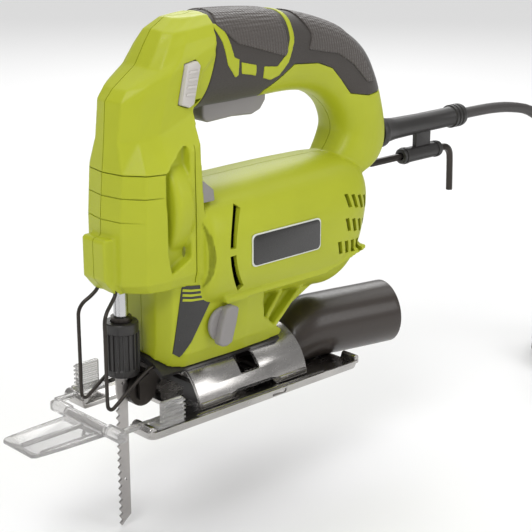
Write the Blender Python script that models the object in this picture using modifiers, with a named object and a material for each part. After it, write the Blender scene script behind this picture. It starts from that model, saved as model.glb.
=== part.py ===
"""Corded jigsaw with a top handle: housing, motor, gear train, plunger, blade, bevelling shoe."""
import math

import bmesh
import bpy
from mathutils import Matrix, Vector

MM = 0.001

# ---- driving sizes -------------------------------------------------------------------------
# Frame while modelling: +X forward (the cutting direction), +Y the tool's left, +Z up,
# x = 0 at the shoe's centre, y = 0 on the seam between the housing halves, z = 0 on the sole.
ORIGIN_FROM_CENTRE = 20 * MM      # the finished part's origin lies this far ahead of the centre

GAP = 0.3 * MM                    # between pieces that touch on the real tool
WALL = 2.5 * MM                   # housing wall
SEAM_GAP = 0.3 * MM               # between the two housing halves

SHOE_LENGTH = 150 * MM
SHOE_WIDTH = 75.5 * MM
SHOE_THICKNESS = 2.5 * MM
RIM_HEIGHT = 4.8 * MM
RIM_THICKNESS = 2.0 * MM
BLADE_SLOT_WIDTH = 40.6 * MM      # open front slot, wide enough for the guard when tilted
BLADE_SLOT_LENGTH = 25 * MM
ROLLER_SLOT_WIDTH = 26 * MM
ROLLER_SLOT_LENGTH = 34 * MM
SADDLE_RADIUS = 27.5 * MM         # outside of the arch, about the bevel axis
SADDLE_THICKNESS = 2.2 * MM
SADDLE_FRONT = 34 * MM
SADDLE_REAR = -42.8 * MM
SADDLE_WINDOW = (-10.8 * MM, 2.8 * MM)
BELLY_EDGE_ANGLE = math.radians(52)   # the belly and its frame stay above this polar angle
FRAME_THICKNESS = 3.0 * MM
BOLT_X = -4 * MM

MOTOR_Z = 86 * MM
GEAR_MODULE = 0.8 * MM
PINION_TEETH = 8
GEAR_TEETH = 56
GEAR_BACKLASH = 0.25 * MM
STROKE = 18 * MM
PLUNGER_X = 63 * MM
PLUNGER_RADIUS = 3.8 * MM
CLAMP_RADIUS = 9.35 * MM
CLAMP_CORE_RADIUS = 5.4 * MM
BLADE_THICKNESS = 1.2 * MM
BLADE_WIDTH = 7.2 * MM
BLADE_FRONT = 68 * MM
BLADE_TIP_Z = -62 * MM
BLADE_TOP_Z = 46 * MM
TOOTH_PITCH = 4 * MM
ROLLER_RADIUS = 8.5 * MM
ROLLER_Z = 12.5 * MM
SHAFT_RADIUS = 4 * MM
GRIP_THICKNESS = 1.8 * MM
CORD_DIAMETER = 6.6 * MM
TUBE_WALL = 2 * MM

# ---- values worked out from them -----------------------------------------------------------
GEAR_RADIUS = GEAR_MODULE * GEAR_TEETH / 2
PINION_RADIUS = GEAR_MODULE * PINION_TEETH / 2
GEAR_Z = MOTOR_Z + GEAR_RADIUS + PINION_RADIUS + GEAR_BACKLASH
CRANK_RADIUS = STROKE / 2
CRANK_Z = GEAR_Z - CRANK_RADIUS
FRAME_INNER = SADDLE_RADIUS + GAP
FRAME_OUTER = FRAME_INNER + FRAME_THICKNESS
SHOE_FRONT = SHOE_LENGTH / 2
SHOE_SIDE = SHOE_WIDTH / 2


# ---- small helpers -------------------------------------------------------------------------
def clear_scene():
    for obj in list(bpy.data.objects):
        bpy.data.objects.remove(obj)


def new_collection(name):
    collection = bpy.data.collections.new(name)
    bpy.context.scene.collection.children.link(collection)
    return collection


clear_scene()
PARTS = new_collection("jigsaw")
CUTTERS = new_collection("cutters")
MATERIALS = {}


def material(name, colour, roughness, metallic=0.0):
    finish = bpy.data.materials.new(name)
    finish.use_nodes = True
    shader = finish.node_tree.nodes["Principled BSDF"]
    shader.inputs["Base Color"].default_value = (*colour, 1.0)
    shader.inputs["Roughness"].default_value = roughness
    shader.inputs["Metallic"].default_value = metallic
    MATERIALS[name] = finish


def make_materials():
    material("lime_plastic", (0.56, 0.68, 0.05), 0.45)
    material("soft_grip", (0.07, 0.06, 0.055), 0.8)
    material("grey_plastic", (0.33, 0.30, 0.28), 0.5)
    material("black_plastic", (0.03, 0.028, 0.027), 0.5)
    material("pressed_steel", (0.62, 0.60, 0.58), 0.3, 1.0)
    material("dark_steel", (0.06, 0.055, 0.05), 0.4, 1.0)
    material("ground_steel", (0.72, 0.72, 0.74), 0.2, 1.0)
    material("laminated_steel", (0.28, 0.28, 0.30), 0.5, 1.0)
    material("copper", (0.72, 0.33, 0.16), 0.35, 1.0)
    material("brass", (0.75, 0.58, 0.25), 0.35, 1.0)
    material("clear_plastic", (0.85, 0.85, 0.85), 0.2)
    material("carbon", (0.02, 0.02, 0.02), 0.7)
    material("cord_rubber", (0.03, 0.03, 0.03), 0.6)


def link(obj, collection):
    collection.objects.link(obj)
    return obj


def from_bmesh(name, bm, turn_outward=True):
    if turn_outward:
        bmesh.ops.recalc_face_normals(bm, faces=bm.faces[:])
    mesh = bpy.data.meshes.new(name)
    bm.to_mesh(mesh)
    bm.free()
    return link(bpy.data.objects.new(name, mesh), CUTTERS)


def box(name, low, high, rounding=0.0):
    """A block between two corners, its edges rounded when asked."""
    bm = bmesh.new()
    bmesh.ops.create_cube(bm, size=1.0)
    size = Vector(high) - Vector(low)
    centre = (Vector(high) + Vector(low)) / 2
    bmesh.ops.scale(bm, vec=size, verts=bm.verts)
    bmesh.ops.translate(bm, vec=centre, verts=bm.verts)
    if rounding:
        bmesh.ops.bevel(bm, geom=bm.edges[:], offset=rounding, segments=2, profile=0.5, affect="EDGES")
    return from_bmesh(name, bm)


AXIS_TURNS = {
    "X": Matrix.Rotation(math.radians(90), 4, "Y"),
    "Y": Matrix.Rotation(math.radians(-90), 4, "X"),
    "Z": Matrix.Identity(4),
}


def cylinder(name, axis, centre, radius, low, high, segments=24):
    """A round bar along an axis, from low to high on it; centre gives the other two places."""
    bm = bmesh.new()
    bmesh.ops.create_cone(
        bm, cap_ends=True, segments=segments, radius1=radius, radius2=radius, depth=high - low)
    bmesh.ops.transform(bm, matrix=AXIS_TURNS[axis], verts=bm.verts)
    place = Vector(centre)
    place["XYZ".index(axis)] = (low + high) / 2
    bmesh.ops.translate(bm, vec=place, verts=bm.verts)
    return from_bmesh(name, bm)


def frozen(obj, name=None):
    """A plain mesh object with the evaluated shape of obj, which is removed.

    A cut body may hold cavities, whose faces must keep looking inward.
    """
    was_cut = any(change.type == "BOOLEAN" for change in obj.modifiers)
    bpy.context.view_layer.update()
    graph = bpy.context.evaluated_depsgraph_get()
    mesh = bpy.data.meshes.new_from_object(obj.evaluated_get(graph))
    bm = bmesh.new()
    bm.from_mesh(mesh)
    bm.transform(obj.matrix_world)
    bmesh.ops.remove_doubles(bm, verts=bm.verts, dist=0.0000005)
    label = name or obj.name
    bpy.data.objects.remove(obj)
    bpy.data.meshes.remove(mesh)
    return from_bmesh(label, bm, not was_cut)


def turned(name, axis, centre, profile, segments=24):
    """A ring or bar turned about an axis. profile: (radius, place along the axis), closed."""
    mesh = bpy.data.meshes.new(name)
    count = len(profile)
    points = [(radius, 0.0, along) for radius, along in profile]
    mesh.from_pydata(points, [(i, (i + 1) % count) for i in range(count)], [])
    obj = link(bpy.data.objects.new(name, mesh), CUTTERS)
    screw = obj.modifiers.new("turn", "SCREW")
    screw.steps = segments
    screw.render_steps = segments
    screw.use_merge_vertices = True
    screw.merge_threshold = 0.00001
    ring = frozen(obj)
    ring.data.transform(AXIS_TURNS[axis])
    place = Vector(centre)
    place["XYZ".index(axis)] = 0.0
    ring.data.transform(Matrix.Translation(place))
    return ring


def tube_ring(name, axis, centre, inner, outer, low, high, segments=24):
    profile = [(outer, high), (outer, low), (inner, low), (inner, high)]
    return turned(name, axis, centre, profile, segments)


PLANES = {
    "XY": Matrix.Identity(4),
    "XZ": Matrix(((1, 0, 0, 0), (0, 0, -1, 0), (0, 1, 0, 0), (0, 0, 0, 1))),
    "YZ": Matrix(((0, 0, 1, 0), (1, 0, 0, 0), (0, 1, 0, 0), (0, 0, 0, 1))),
}


def plate(name, plane, points, low, high):
    """A flat outline in a plane, as thick as from low to high along the plane's normal axis."""
    curve = bpy.data.curves.new(name, "CURVE")
    curve.dimensions = "2D"
    curve.fill_mode = "BOTH"
    curve.extrude = (high - low) / 2
    spline = curve.splines.new("POLY")
    spline.points.add(len(points) - 1)
    for point, (first, second) in zip(spline.points, points):
        point.co = (first, second, 0.0, 1.0)
    spline.use_cyclic_u = True
    obj = frozen(link(bpy.data.objects.new(name, curve), CUTTERS))
    side = -1.0 if plane == "XZ" else 1.0
    obj.data.transform(Matrix.Translation((0, 0, side * (low + high) / 2)))
    obj.data.transform(PLANES[plane])
    return obj


def rod(name, points, radius, resolution=2):
    """A round wire through points."""
    curve = bpy.data.curves.new(name, "CURVE")
    curve.dimensions = "3D"
    curve.bevel_depth = radius
    curve.bevel_resolution = resolution
    curve.use_fill_caps = True
    spline = curve.splines.new("POLY")
    spline.points.add(len(points) - 1)
    for point, place in zip(spline.points, points):
        point.co = (*place, 1.0)
    return frozen(link(bpy.data.objects.new(name, curve), CUTTERS))


def smooth_path(points, steps):
    """Points along a smooth curve through the given ones."""
    path = []
    last = len(points) - 1
    for index in range(last):
        before = Vector(points[max(index - 1, 0)])
        start = Vector(points[index])
        end = Vector(points[index + 1])
        after = Vector(points[min(index + 2, last)])
        for step in range(steps):
            t = step / steps
            path.append(
                0.5 * (2 * start + (end - before) * t
                       + (2 * before - 5 * start + 4 * end - after) * t * t
                       + (3 * start - before - 3 * end + after) * t ** 3))
    path.append(Vector(points[-1]))
    return path


def arc(centre, radius, start, end, steps):
    """Points of an arc in a plane; angles in radians."""
    return [
        (centre[0] + radius * math.cos(start + (end - start) * i / steps),
         centre[1] + radius * math.sin(start + (end - start) * i / steps))
        for i in range(steps + 1)]


def skin_rings(name, rings):
    """A closed body skinned over rings that have the same number of points."""
    bm = bmesh.new()
    rows = [[bm.verts.new(point) for point in ring] for ring in rings]
    count = len(rows[0])
    for first, second in zip(rows, rows[1:]):
        for i in range(count):
            j = (i + 1) % count
            bm.faces.new((first[i], first[j], second[j], second[i]))
    bm.faces.new(rows[0])
    bm.faces.new(rows[-1])
    return from_bmesh(name, bm)


def combine(target, tool, operation):
    change = target.modifiers.new(tool.name, "BOOLEAN")
    change.operation = operation
    change.object = tool
    change.solver = "EXACT"
    tool.hide_render = True
    tool.display_type = "WIRE"
    return target


def cut(target, *tools):
    for tool in tools:
        combine(target, tool, "DIFFERENCE")
    return target


def joined(target, *tools):
    for tool in tools:
        combine(target, tool, "UNION")
    return target


def finish(obj, name, finish_name, pivot=(0, 0, 0), smooth=35):
    """Moves an object into the parts collection, with its origin at pivot, and names it."""
    part = frozen(obj) if obj.modifiers else obj
    part.name = name
    part.data.name = name
    part.data.materials.clear()
    part.data.materials.append(MATERIALS[finish_name])
    part.data.shade_smooth()
    part.data.set_sharp_from_angle(angle=math.radians(smooth))
    part.data.transform(Matrix.Translation(-Vector(pivot)))
    part.location = Vector(pivot) - Vector((ORIGIN_FROM_CENTRE, 0, 0))
    CUTTERS.objects.unlink(part)
    PARTS.objects.link(part)
    part.hide_render = False
    return part


def mirrored(obj, name):
    """A copy of obj on the other side of the seam."""
    bm = bmesh.new()
    bm.from_mesh(obj.data)
    bmesh.ops.scale(bm, vec=(1, -1, 1), verts=bm.verts)
    return from_bmesh(name, bm)


# ---- housing -------------------------------------------------------------------------------
# Handle and motor are skinned between an outer and an inner line, in millimetres:
# (outer x, outer z, inner x, inner z, half width).
HANDLE_LINES = (
    (30, 198, 34, 152, 19.5),
    (16, 203.2, 18, 155.3, 19.5),
    (0, 203.5, 0, 155.5, 19),
    (-24, 202, -22, 155.8, 18.8),
    (-46, 199, -42, 156.3, 18.4),
    (-68, 193.6, -57, 155.2, 18),
    (-88, 185.8, -69, 151.5, 17.6),
    (-103, 175, -78, 145.5, 17.4),
    (-112, 160, -84, 138, 17.4),
    (-117.5, 145, -86.5, 129, 17.4),
    (-121.5, 130, -83, 122, 17.4),
    (-121.5, 118, -79, 117, 17.2),
    (-115, 109, -77, 111, 17),
    (-104, 104.5, -76, 104.5, 16),
)
MOTOR_LINES = (
    (31, 113, 31, 55, 28),
    (28.5, 116, 28.5, 52.5, 32.5),
    (20, 117.5, 20, 51, 34),
    (-40, 118.5, -40, 47.5, 33.6),
    (-78, 118, -66, 44.5, 32),
    (-92, 115, -77, 48, 28.5),
    (-99.5, 107, -85, 56, 22),
    (-101.5, 98, -92, 68, 15),
)
# Nose and belly are skinned over level sections: (z, half outline from the front to the rear).
NOSE_LEVELS = (
    (70, ((69.5, 0), (67.5, 11.5), (60.5, 21), (50, 24.5), (30, 25))),
    (75, ((74.2, 0), (71.8, 13), (63.5, 23.2), (51, 27), (29, 27))),
    (100, ((74, 0), (71.6, 13.2), (63.3, 23.5), (51, 27.3), (29, 27))),
    (131, ((71.9, 0), (69.8, 13.2), (62.3, 23), (50, 26.5), (31, 26))),
    (146, ((70.3, 0), (68.8, 9), (60, 14.5), (50, 18.3), (31, 21))),
    (165, ((68.8, 0), (66.3, 9.5), (58.5, 15), (45, 19), (20, 20.5))),
    (171, ((64, 0), (62.5, 9.2), (56, 15), (42, 19), (16, 20.5))),
    (180, ((50, 0), (49, 9), (46, 15), (36, 18.6), (14, 20.5))),
    (189, ((44, 0), (43, 8.6), (40, 14), (32, 17.3), (13, 19))),
    (196, ((39.5, 0), (38.5, 7.6), (35, 11.8), (28, 14.2), (12, 16))),
    (202, ((31, 0), (29.5, 5), (26, 7.5), (20, 8.5), (11, 9.5))),
)
BELLY_LEVELS = (
    (80, ((50, 0), (50, 12), (46, 21), (38, 25.5), (0, 26), (-13, 25))),
    (56, ((50, 0), (50, 11.5), (46, 20.5), (37, 25), (0, 26), (-13, 25))),
    (42, ((50, 0), (50, 11), (46, 20), (37, 24.5), (0, 25.5), (-14, 24))),
    (34, ((50, 0), (50, 10), (46, 19.5), (38, 23.6), (0, 24.2), (-24, 22))),
    (29.5, ((50, 0), (50, 9), (46, 17.5), (38, 21.4), (0, 21.7), (-30.5, 20))),
    (24.5, ((50, 0), (50, 8), (46, 15), (38, 18.6), (0, 18.9), (-30.5, 17.5))),
    (21.5, ((50, 0), (50, 7), (46, 12), (38, 16.2), (0, 16.5), (-29, 15))),
)


def line_rings(lines, inset=0.0, sides=16, power=2.5):
    """Rounded sections between outer and inner lines, pulled in by inset for a hollow."""
    rings = []
    for outer_x, outer_z, inner_x, inner_z, half_width in lines:
        outer = Vector((outer_x * MM, 0, outer_z * MM))
        inner = Vector((inner_x * MM, 0, inner_z * MM))
        centre = (outer + inner) / 2
        half = (outer - inner) / 2
        up = half.normalized()
        tall = half.length - inset
        wide = half_width * MM - inset
        ring = []
        for i in range(sides):
            angle = 2 * math.pi * (i + 0.5) / sides
            c = math.cos(angle)
            s = math.sin(angle)
            along = tall * math.copysign(abs(s) ** (2 / power), s)
            across = wide * math.copysign(abs(c) ** (2 / power), c)
            ring.append(centre + up * along + Vector((0, across, 0)))
        rings.append(ring)
    return rings


def pulled_in(points, inset):
    """A half outline moved in by inset: each corner along the sum of its edges' normals."""
    moved = []
    last = len(points) - 1
    for i, (x, y) in enumerate(points):
        normals = []
        for a, b in ((i - 1, i), (i, i + 1)):
            if a < 0 or b > last:
                continue
            edge = Vector((points[b][0] - points[a][0], points[b][1] - points[a][1]))
            normals.append(Vector((edge.y, -edge.x)).normalized())
        if i == 0:
            normals.append(Vector((normals[0].x, -normals[0].y)))
        if i == last:
            normals.append(Vector((-1.0, 0.0)))
        both = normals[0] + normals[1]
        step = both * (inset / (1 + normals[0].dot(normals[1])))
        moved.append((x - step.x, max(y - step.y, 0.0)))
    return moved


def level_rings(levels, inset=0.0):
    rings = []
    for height, half in levels:
        points = [(x * MM, y * MM) for x, y in half]
        if inset:
            points = pulled_in(points, inset)
        left = [(x, y, height * MM) for x, y in points]
        right = [(x, -y, height * MM) for x, y in reversed(points[1:])]
        rings.append(left + right)
    return rings


def inner_levels(levels, lowest, highest):
    """The sections between two heights, with new ones cut in at the ends."""
    levels = sorted(levels)

    def section_at(height):
        for (z0, low), (z1, high) in zip(levels, levels[1:]):
            if z0 <= height <= z1:
                t = (height - z0) / (z1 - z0)
                return tuple(
                    (a[0] + (b[0] - a[0]) * t, a[1] + (b[1] - a[1]) * t) for a, b in zip(low, high))
        return levels[-1][1]

    kept = [(z, half) for z, half in levels if lowest < z < highest]
    return [(lowest, section_at(lowest)), *kept, (highest, section_at(highest))]


BOSS_LOW = 72 * MM
BOSS_TOP = 98 * MM
BOSS_FRONT = 79 * MM
BOSS_HALF_WIDTH = 9 * MM


def nose_boss():
    """The square step on the front of the nose, with a sloping foot."""
    outline = ((60 * MM, BOSS_TOP), (BOSS_FRONT, BOSS_TOP), (BOSS_FRONT, BOSS_LOW + 6 * MM),
               (72 * MM, BOSS_LOW - 2.5 * MM), (60 * MM, BOSS_LOW - 2.5 * MM))
    return plate("nose_boss", "XZ", outline, -BOSS_HALF_WIDTH, BOSS_HALF_WIDTH)


def gear_bulge():
    """The part of the gear cover that stands out of the nose's sides."""
    return cylinder("gear_bulge", "X", (0, 0, GEAR_Z), GEAR_RADIUS + 6.6 * MM, 38 * MM, 51.4 * MM, 32)


def outer_form():
    body = skin_rings("housing_form", level_rings(NOSE_LEVELS))
    handle = skin_rings("handle_form", line_rings(HANDLE_LINES))
    motor = skin_rings("motor_form", line_rings(MOTOR_LINES, sides=24))
    belly = skin_rings("belly_form", level_rings(BELLY_LEVELS))
    joined(body, handle, motor, belly, nose_boss())
    under = cylinder("arch_space", "X", (0, 0, 0), FRAME_OUTER + GAP, -60 * MM, 80 * MM, 64)
    return cut(body, under)


NOSE_FLOOR = 75.5                 # millimetres: lowest and highest inside of the nose
NOSE_CEILING = 163
BELLY_FLOOR = 38
BELLY_CEILING = 80


def hollow_form():
    handle_lines = [HANDLE_LINES[1]] + list(HANDLE_LINES[2:-2])
    space = skin_rings("handle_space", line_rings(handle_lines, WALL + GRIP_THICKNESS))
    motor_lines = [MOTOR_LINES[1]] + list(MOTOR_LINES[2:-1])
    motor = skin_rings("motor_space", line_rings(motor_lines, WALL, sides=24))
    nose_levels = inner_levels(NOSE_LEVELS, NOSE_FLOOR, NOSE_CEILING)
    nose = skin_rings("nose_space", level_rings(nose_levels, WALL))
    belly_levels = inner_levels(BELLY_LEVELS, BELLY_FLOOR, BELLY_CEILING)
    belly = skin_rings("belly_space", level_rings(belly_levels, WALL))
    gear_room = cylinder(
        "gear_room", "X", (0, 0, GEAR_Z), GEAR_RADIUS + 2.2 * MM, BEARING_SPAN[0], 48.4 * MM, 32)
    shaft_way = cylinder("shaft_way", "X", MOTOR_CENTRE, SHAFT_RADIUS + 2 * MM, 20 * MM, 40 * MM, 24)
    low, high = BEARING_SPAN
    plate_room = plate("plate_room", "YZ", gear_plate_outline(0.6 * MM), low - 1.4 * MM, high + 10 * MM)
    return joined(space, motor, nose, belly, gear_room, shaft_way, plate_room)


# Screws that hold the halves: (x, z, depth of the head's seat from the seam), millimetres.
SCREWS = {
    "screw_head": (54, 156, 10),
    "screw_handle_top": (-52, 177, 11),
    "screw_handle_rear": (-104, 139, 12),
    "screw_motor_rear": (-86, 109, 12),
    "screw_gearcase": (38, 60.5, 18),
}
SCREW_SHANK = 1.6 * MM
SCREW_HEAD = 3.5 * MM
SCREW_REACH = 9 * MM
SCREW_BOSS = 4.2 * MM


def screw_bosses():
    tools = []
    for name, (x, z, depth) in SCREWS.items():
        centre = (x * MM, 0, z * MM)
        tools.append(cylinder(name + "_boss", "Y", centre, SCREW_BOSS, 0, (depth + 3) * MM, 16))
    return tools


TRIGGER_HALF = 8.5 * MM
TRIGGER_SPAN = (-30 * MM, 14 * MM)
TRIGGER_PIVOT = (-26 * MM, 0, 160 * MM)


def plunger_opening():
    """The pocket that takes the clamp at the top of its stroke."""
    pocket = cylinder(
        "clamp_pocket", "Z", (PLUNGER_X, 0, 0), CLAMP_RADIUS + 0.7 * MM, 60 * MM, 73.6 * MM, 32)
    bore = cylinder("bush_bore", "Z", (PLUNGER_X, 0, 0), 6.5 * MM, 70 * MM, 80 * MM, 24)
    return pocket, bore


def vents():
    """Curved slots at the front of the motor and slanting louvres at its rear, left side."""
    tools = []
    for low, high in ((-34, -3), (3, 34)):
        slot = []
        for radius, order in ((30.5 * MM, 1), (28.0 * MM, -1)):
            points = arc((0, MOTOR_Z), radius, math.radians(low), math.radians(high), 6)[::order]
            slot.extend(points)
        shifted = [(x - 14.5 * MM, z) for x, z in slot]
        tools.append(plate("front_vent", "XZ", shifted, 20 * MM, 45 * MM))
    for row, (start, height) in enumerate(((-70, 96), (-68, 83), (-62, 71))):
        for step in range(4):
            x = (start - 5.6 * step) * MM
            z = (height - 1.2 * step) * MM
            slit = ((x, z + 4 * MM), (x - 2.4 * MM, z + 4 * MM), (x - 4 * MM, z - 4 * MM),
                    (x - 1.6 * MM, z - 4 * MM))
            tools.append(plate("rear_vent_%d_%d" % (row, step), "XZ", slit, 15 * MM, 45 * MM))
    return tools


# The soft grip's side outline on the handle, millimetres.
GRIP_OUTLINE = (
    (8, 212), (13.5, 196), (14, 184), (19, 168), (25, 152), (22, 140), (-20, 140), (-23, 161),
    (-41, 173), (-59, 171.5), (-70, 167.5), (-78, 160), (-86, 151.5), (-99, 149), (-128, 152),
    (-130, 212),
)


def grip_region(name, gap):
    """The grip's side outline, grown by gap at right angles to its edge, right across the tool."""
    points = []
    count = len(GRIP_OUTLINE)
    for i, (x, z) in enumerate(GRIP_OUTLINE):
        before = Vector(GRIP_OUTLINE[i - 1])
        after = Vector(GRIP_OUTLINE[(i + 1) % count])
        first = (Vector((x, z)) - before).normalized()
        second = (after - Vector((x, z))).normalized()
        out = Vector((-first.y - second.y, first.x + second.x))
        step = out * (gap / (1 + first.dot(second)))
        points.append((x * MM + step.x, z * MM + step.y))
    return plate(name, "XZ", points, -40 * MM, 40 * MM)


def grip_shell(name, inner_inset, outer_inset, gap):
    """The handle's skin between two depths, inside the grip's outline."""
    shell = skin_rings(name, line_rings(HANDLE_LINES, outer_inset))
    core = skin_rings(name + "_core", line_rings(HANDLE_LINES, inner_inset))
    region = grip_region(name + "_region", gap)
    combine(shell, region, "INTERSECT")
    return cut(shell, core)


BADGE_SPAN = (-46 * MM, 3.5 * MM)
BADGE_HEIGHTS = (75 * MM, 92.5 * MM)
BADGE_FACE = 34.2 * MM
BADGE_THICKNESS = 0.9 * MM
KNOB_PLACE = (18.5 * MM, 46.5 * MM)
KNOB_SEAT = 26.2 * MM
BUTTON_OUTLINE = ((38.6, 162.5), (34.5, 181.6), (28, 183), (26, 180.5), (30.6, 162), (33.5, 160.5))


def button_plate(name, gap, low, high):
    middle_x = sum(x for x, z in BUTTON_OUTLINE) / len(BUTTON_OUTLINE)
    middle_z = sum(z for x, z in BUTTON_OUTLINE) / len(BUTTON_OUTLINE)
    points = []
    for x, z in BUTTON_OUTLINE:
        away = Vector((x - middle_x, z - middle_z)).normalized()
        points.append((x * MM + away.x * gap, z * MM + away.y * gap))
    return plate(name, "XZ", points, low, high)


WIRE_RADIUS = 1.0 * MM
WIRE_HALF_SPREAD = 11 * MM
WIRE_ENTRY = (71.2 * MM, 7.2 * MM)
BOOT_Z = 121.5 * MM


def make_housing():
    body = frozen(outer_form())
    inside = frozen(hollow_form())
    cut(body, inside)
    joined(body, *screw_bosses())
    body = frozen(body)
    cut(body, *plunger_opening())
    # a shallow seat where the soft grip is moulded on
    cut(body, frozen(grip_shell("grip_seat", GRIP_THICKNESS + GAP, -2 * MM, GAP)))
    cut(body, box("trigger_slot", (TRIGGER_SPAN[0] - 2 * MM, -TRIGGER_HALF - 0.5 * MM, 140 * MM),
                  (TRIGGER_SPAN[1] + 2 * MM, TRIGGER_HALF + 0.5 * MM, 167 * MM)))
    cut(body, cylinder("boot_hole", "X", (0, 0, BOOT_Z), 6.7 * MM, -130 * MM, -100 * MM, 24))
    seat_face = BADGE_FACE - BADGE_THICKNESS - GAP
    cut(body, box("badge_seat", (BADGE_SPAN[0] - GAP, seat_face, BADGE_HEIGHTS[0] - GAP),
                  (BADGE_SPAN[1] + GAP, 45 * MM, BADGE_HEIGHTS[1] + GAP)))
    cut(body, box("wire_slot", (WIRE_ENTRY[0] - 1.5 * MM, -0.1 * MM, 66 * MM),
                  (WIRE_ENTRY[0] + 1.5 * MM, WIRE_ENTRY[1] + 1.6 * MM, 79 * MM)))
    cut(body, cylinder("bolt_hole", "Z", (BOLT_X, 0, 0), 2.9 * MM, 20 * MM, 46 * MM, 16))
    cut(body, box("nut_pocket", (BOLT_X - 4.6 * MM, -5.4 * MM, 33 * MM),
                  (BOLT_X + 4.6 * MM, 5.4 * MM, 37.4 * MM)))
    cut(body, *vents())
    left_space = box("left_space", (-200 * MM, SEAM_GAP / 2, 0), (120 * MM, 60 * MM, 230 * MM))
    combine(body, left_space, "INTERSECT")
    half = frozen(body)
    right = mirrored(half, "right_form")
    for name, (x, z, depth) in SCREWS.items():
        centre = (x * MM, 0, z * MM)
        pilot = cylinder(name + "_pilot", "Y", centre, SCREW_SHANK + GAP, -1 * MM, SCREW_REACH + 1 * MM, 12)
        cut(half, pilot)
        clear = cylinder(name + "_clear", "Y", centre, SCREW_SHANK + GAP, -40 * MM, 1 * MM, 12)
        seat = cylinder(name + "_seat", "Y", centre, SCREW_HEAD + GAP, -60 * MM, -depth * MM, 16)
        cut(right, clear, seat)
    cut(half, button_plate("button_slot", 0.5 * MM, 8 * MM, 30 * MM))
    cut(half, cylinder("knob_hole", "Y", (KNOB_PLACE[0], 0, KNOB_PLACE[1]), 4.4 * MM, 15 * MM, 40 * MM, 20))
    finish(half, "housing_left", "lime_plastic")
    finish(right, "housing_right", "lime_plastic")


def make_grips():
    whole = grip_shell("grip_form", GRIP_THICKNESS, 0.0, 0.0)
    cut(whole, box("grip_trigger_gap", (TRIGGER_SPAN[0] - 2 * MM, -TRIGGER_HALF - 0.5 * MM, 140 * MM),
                   (TRIGGER_SPAN[1] + 2 * MM, TRIGGER_HALF + 0.5 * MM, 167 * MM)))
    side = box("grip_side", (-200 * MM, SEAM_GAP / 2, 100 * MM), (120 * MM, 60 * MM, 230 * MM))
    combine(whole, side, "INTERSECT")
    left = frozen(whole)
    right = mirrored(left, "grip_right_form")
    x, z, depth = SCREWS["screw_handle_top"]
    centre = (x * MM, 0, z * MM)
    cut(right, cylinder("grip_screw_hole", "Y", centre, SCREW_HEAD + GAP, -60 * MM, -5 * MM, 16))
    finish(left, "grip_left", "soft_grip")
    finish(right, "grip_right", "soft_grip")


def make_screws():
    for name, (x, z, depth) in SCREWS.items():
        centre = (x * MM, 0, z * MM)
        head_seat = -depth * MM - GAP
        shank = cylinder(name, "Y", centre, SCREW_SHANK, head_seat - 1 * MM, SCREW_REACH, 10)
        head = cylinder(name + "_top", "Y", centre, SCREW_HEAD, head_seat - 2.4 * MM, head_seat, 14)
        finish(joined(shank, head), name, "dark_steel")


def make_badges():
    for name, side in (("badge_left", 1), ("badge_right", -1)):
        inner = side * (BADGE_FACE - BADGE_THICKNESS)
        outer = side * BADGE_FACE
        low = (BADGE_SPAN[0], min(inner, outer), BADGE_HEIGHTS[0])
        high = (BADGE_SPAN[1], max(inner, outer), BADGE_HEIGHTS[1])
        finish(box(name, low, high), name, "black_plastic")


# ---- controls ------------------------------------------------------------------------------
def make_trigger():
    start, end = TRIGGER_SPAN
    outline = ((end, 162 * MM), (end, 149.5 * MM), (end - 3 * MM, 147.8 * MM), (-20 * MM, 147.6 * MM),
               (-26 * MM, 149.6 * MM), (start + 0.5 * MM, 154 * MM), (start, 162 * MM))
    trigger = plate("trigger", "XZ", outline, -TRIGGER_HALF, TRIGGER_HALF)
    finish(trigger, "trigger", "grey_plastic", TRIGGER_PIVOT)


def make_lock_button():
    button = button_plate("lock_button", 0.0, 14 * MM, 22.8 * MM)
    finish(button, "lock_button", "grey_plastic", (32 * MM, 18 * MM, 172 * MM))


def make_blower_knob():
    centre = (KNOB_PLACE[0], 0, KNOB_PLACE[1])
    shaft = cylinder("knob_shaft", "Y", centre, 4 * MM, 19 * MM, KNOB_SEAT + 1 * MM, 20)
    disc = cylinder("knob_disc", "Y", centre, 8.6 * MM, KNOB_SEAT + 0.1 * MM, KNOB_SEAT + 2.4 * MM, 24)
    x, z = KNOB_PLACE
    bar = ((x + 6.5 * MM, z - 8.5 * MM), (x + 0.5 * MM, z + 9.5 * MM), (x - 7.5 * MM, z + 8.5 * MM),
           (x - 2.5 * MM, z - 9.5 * MM), (x + 3 * MM, z - 10.5 * MM))
    lever = plate("knob_bar", "XZ", bar, KNOB_SEAT + 1 * MM, KNOB_SEAT + 6.4 * MM)
    finish(joined(shaft, disc, lever), "blower_knob", "grey_plastic", (x, KNOB_SEAT, z))


def make_electrics():
    switch = box("switch_module", (-24 * MM, -10 * MM, 169 * MM), (14 * MM, 10 * MM, 193 * MM), 1 * MM)
    finish(switch, "switch_module", "black_plastic")
    clamp = box("cable_clamp", (-106 * MM, -9 * MM, 126 * MM), (-97 * MM, 9 * MM, 129.5 * MM))
    finish(clamp, "cable_clamp", "black_plastic")


# ---- motor ---------------------------------------------------------------------------------
STATOR_SPAN = (-50 * MM, -14 * MM)
STATOR_RADIUS = 28 * MM
STATOR_BORE = 18.4 * MM
CORE_RADIUS = 17.6 * MM
WINDING_RADIUS = 9 * MM
COMMUTATOR_SPAN = (-80 * MM, -66 * MM)
COMMUTATOR_RADIUS = 10 * MM
FAN_SPAN = (1 * MM, 12 * MM)
FAN_RADIUS = 26 * MM
BEARING_SPAN = (34.4 * MM, 38.6 * MM)
REAR_BEARING_SPAN = (-88 * MM, -82.5 * MM)
GEAR_SPAN = (40.6 * MM, 47 * MM)
MOTOR_CENTRE = (0, 0, MOTOR_Z)


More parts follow.
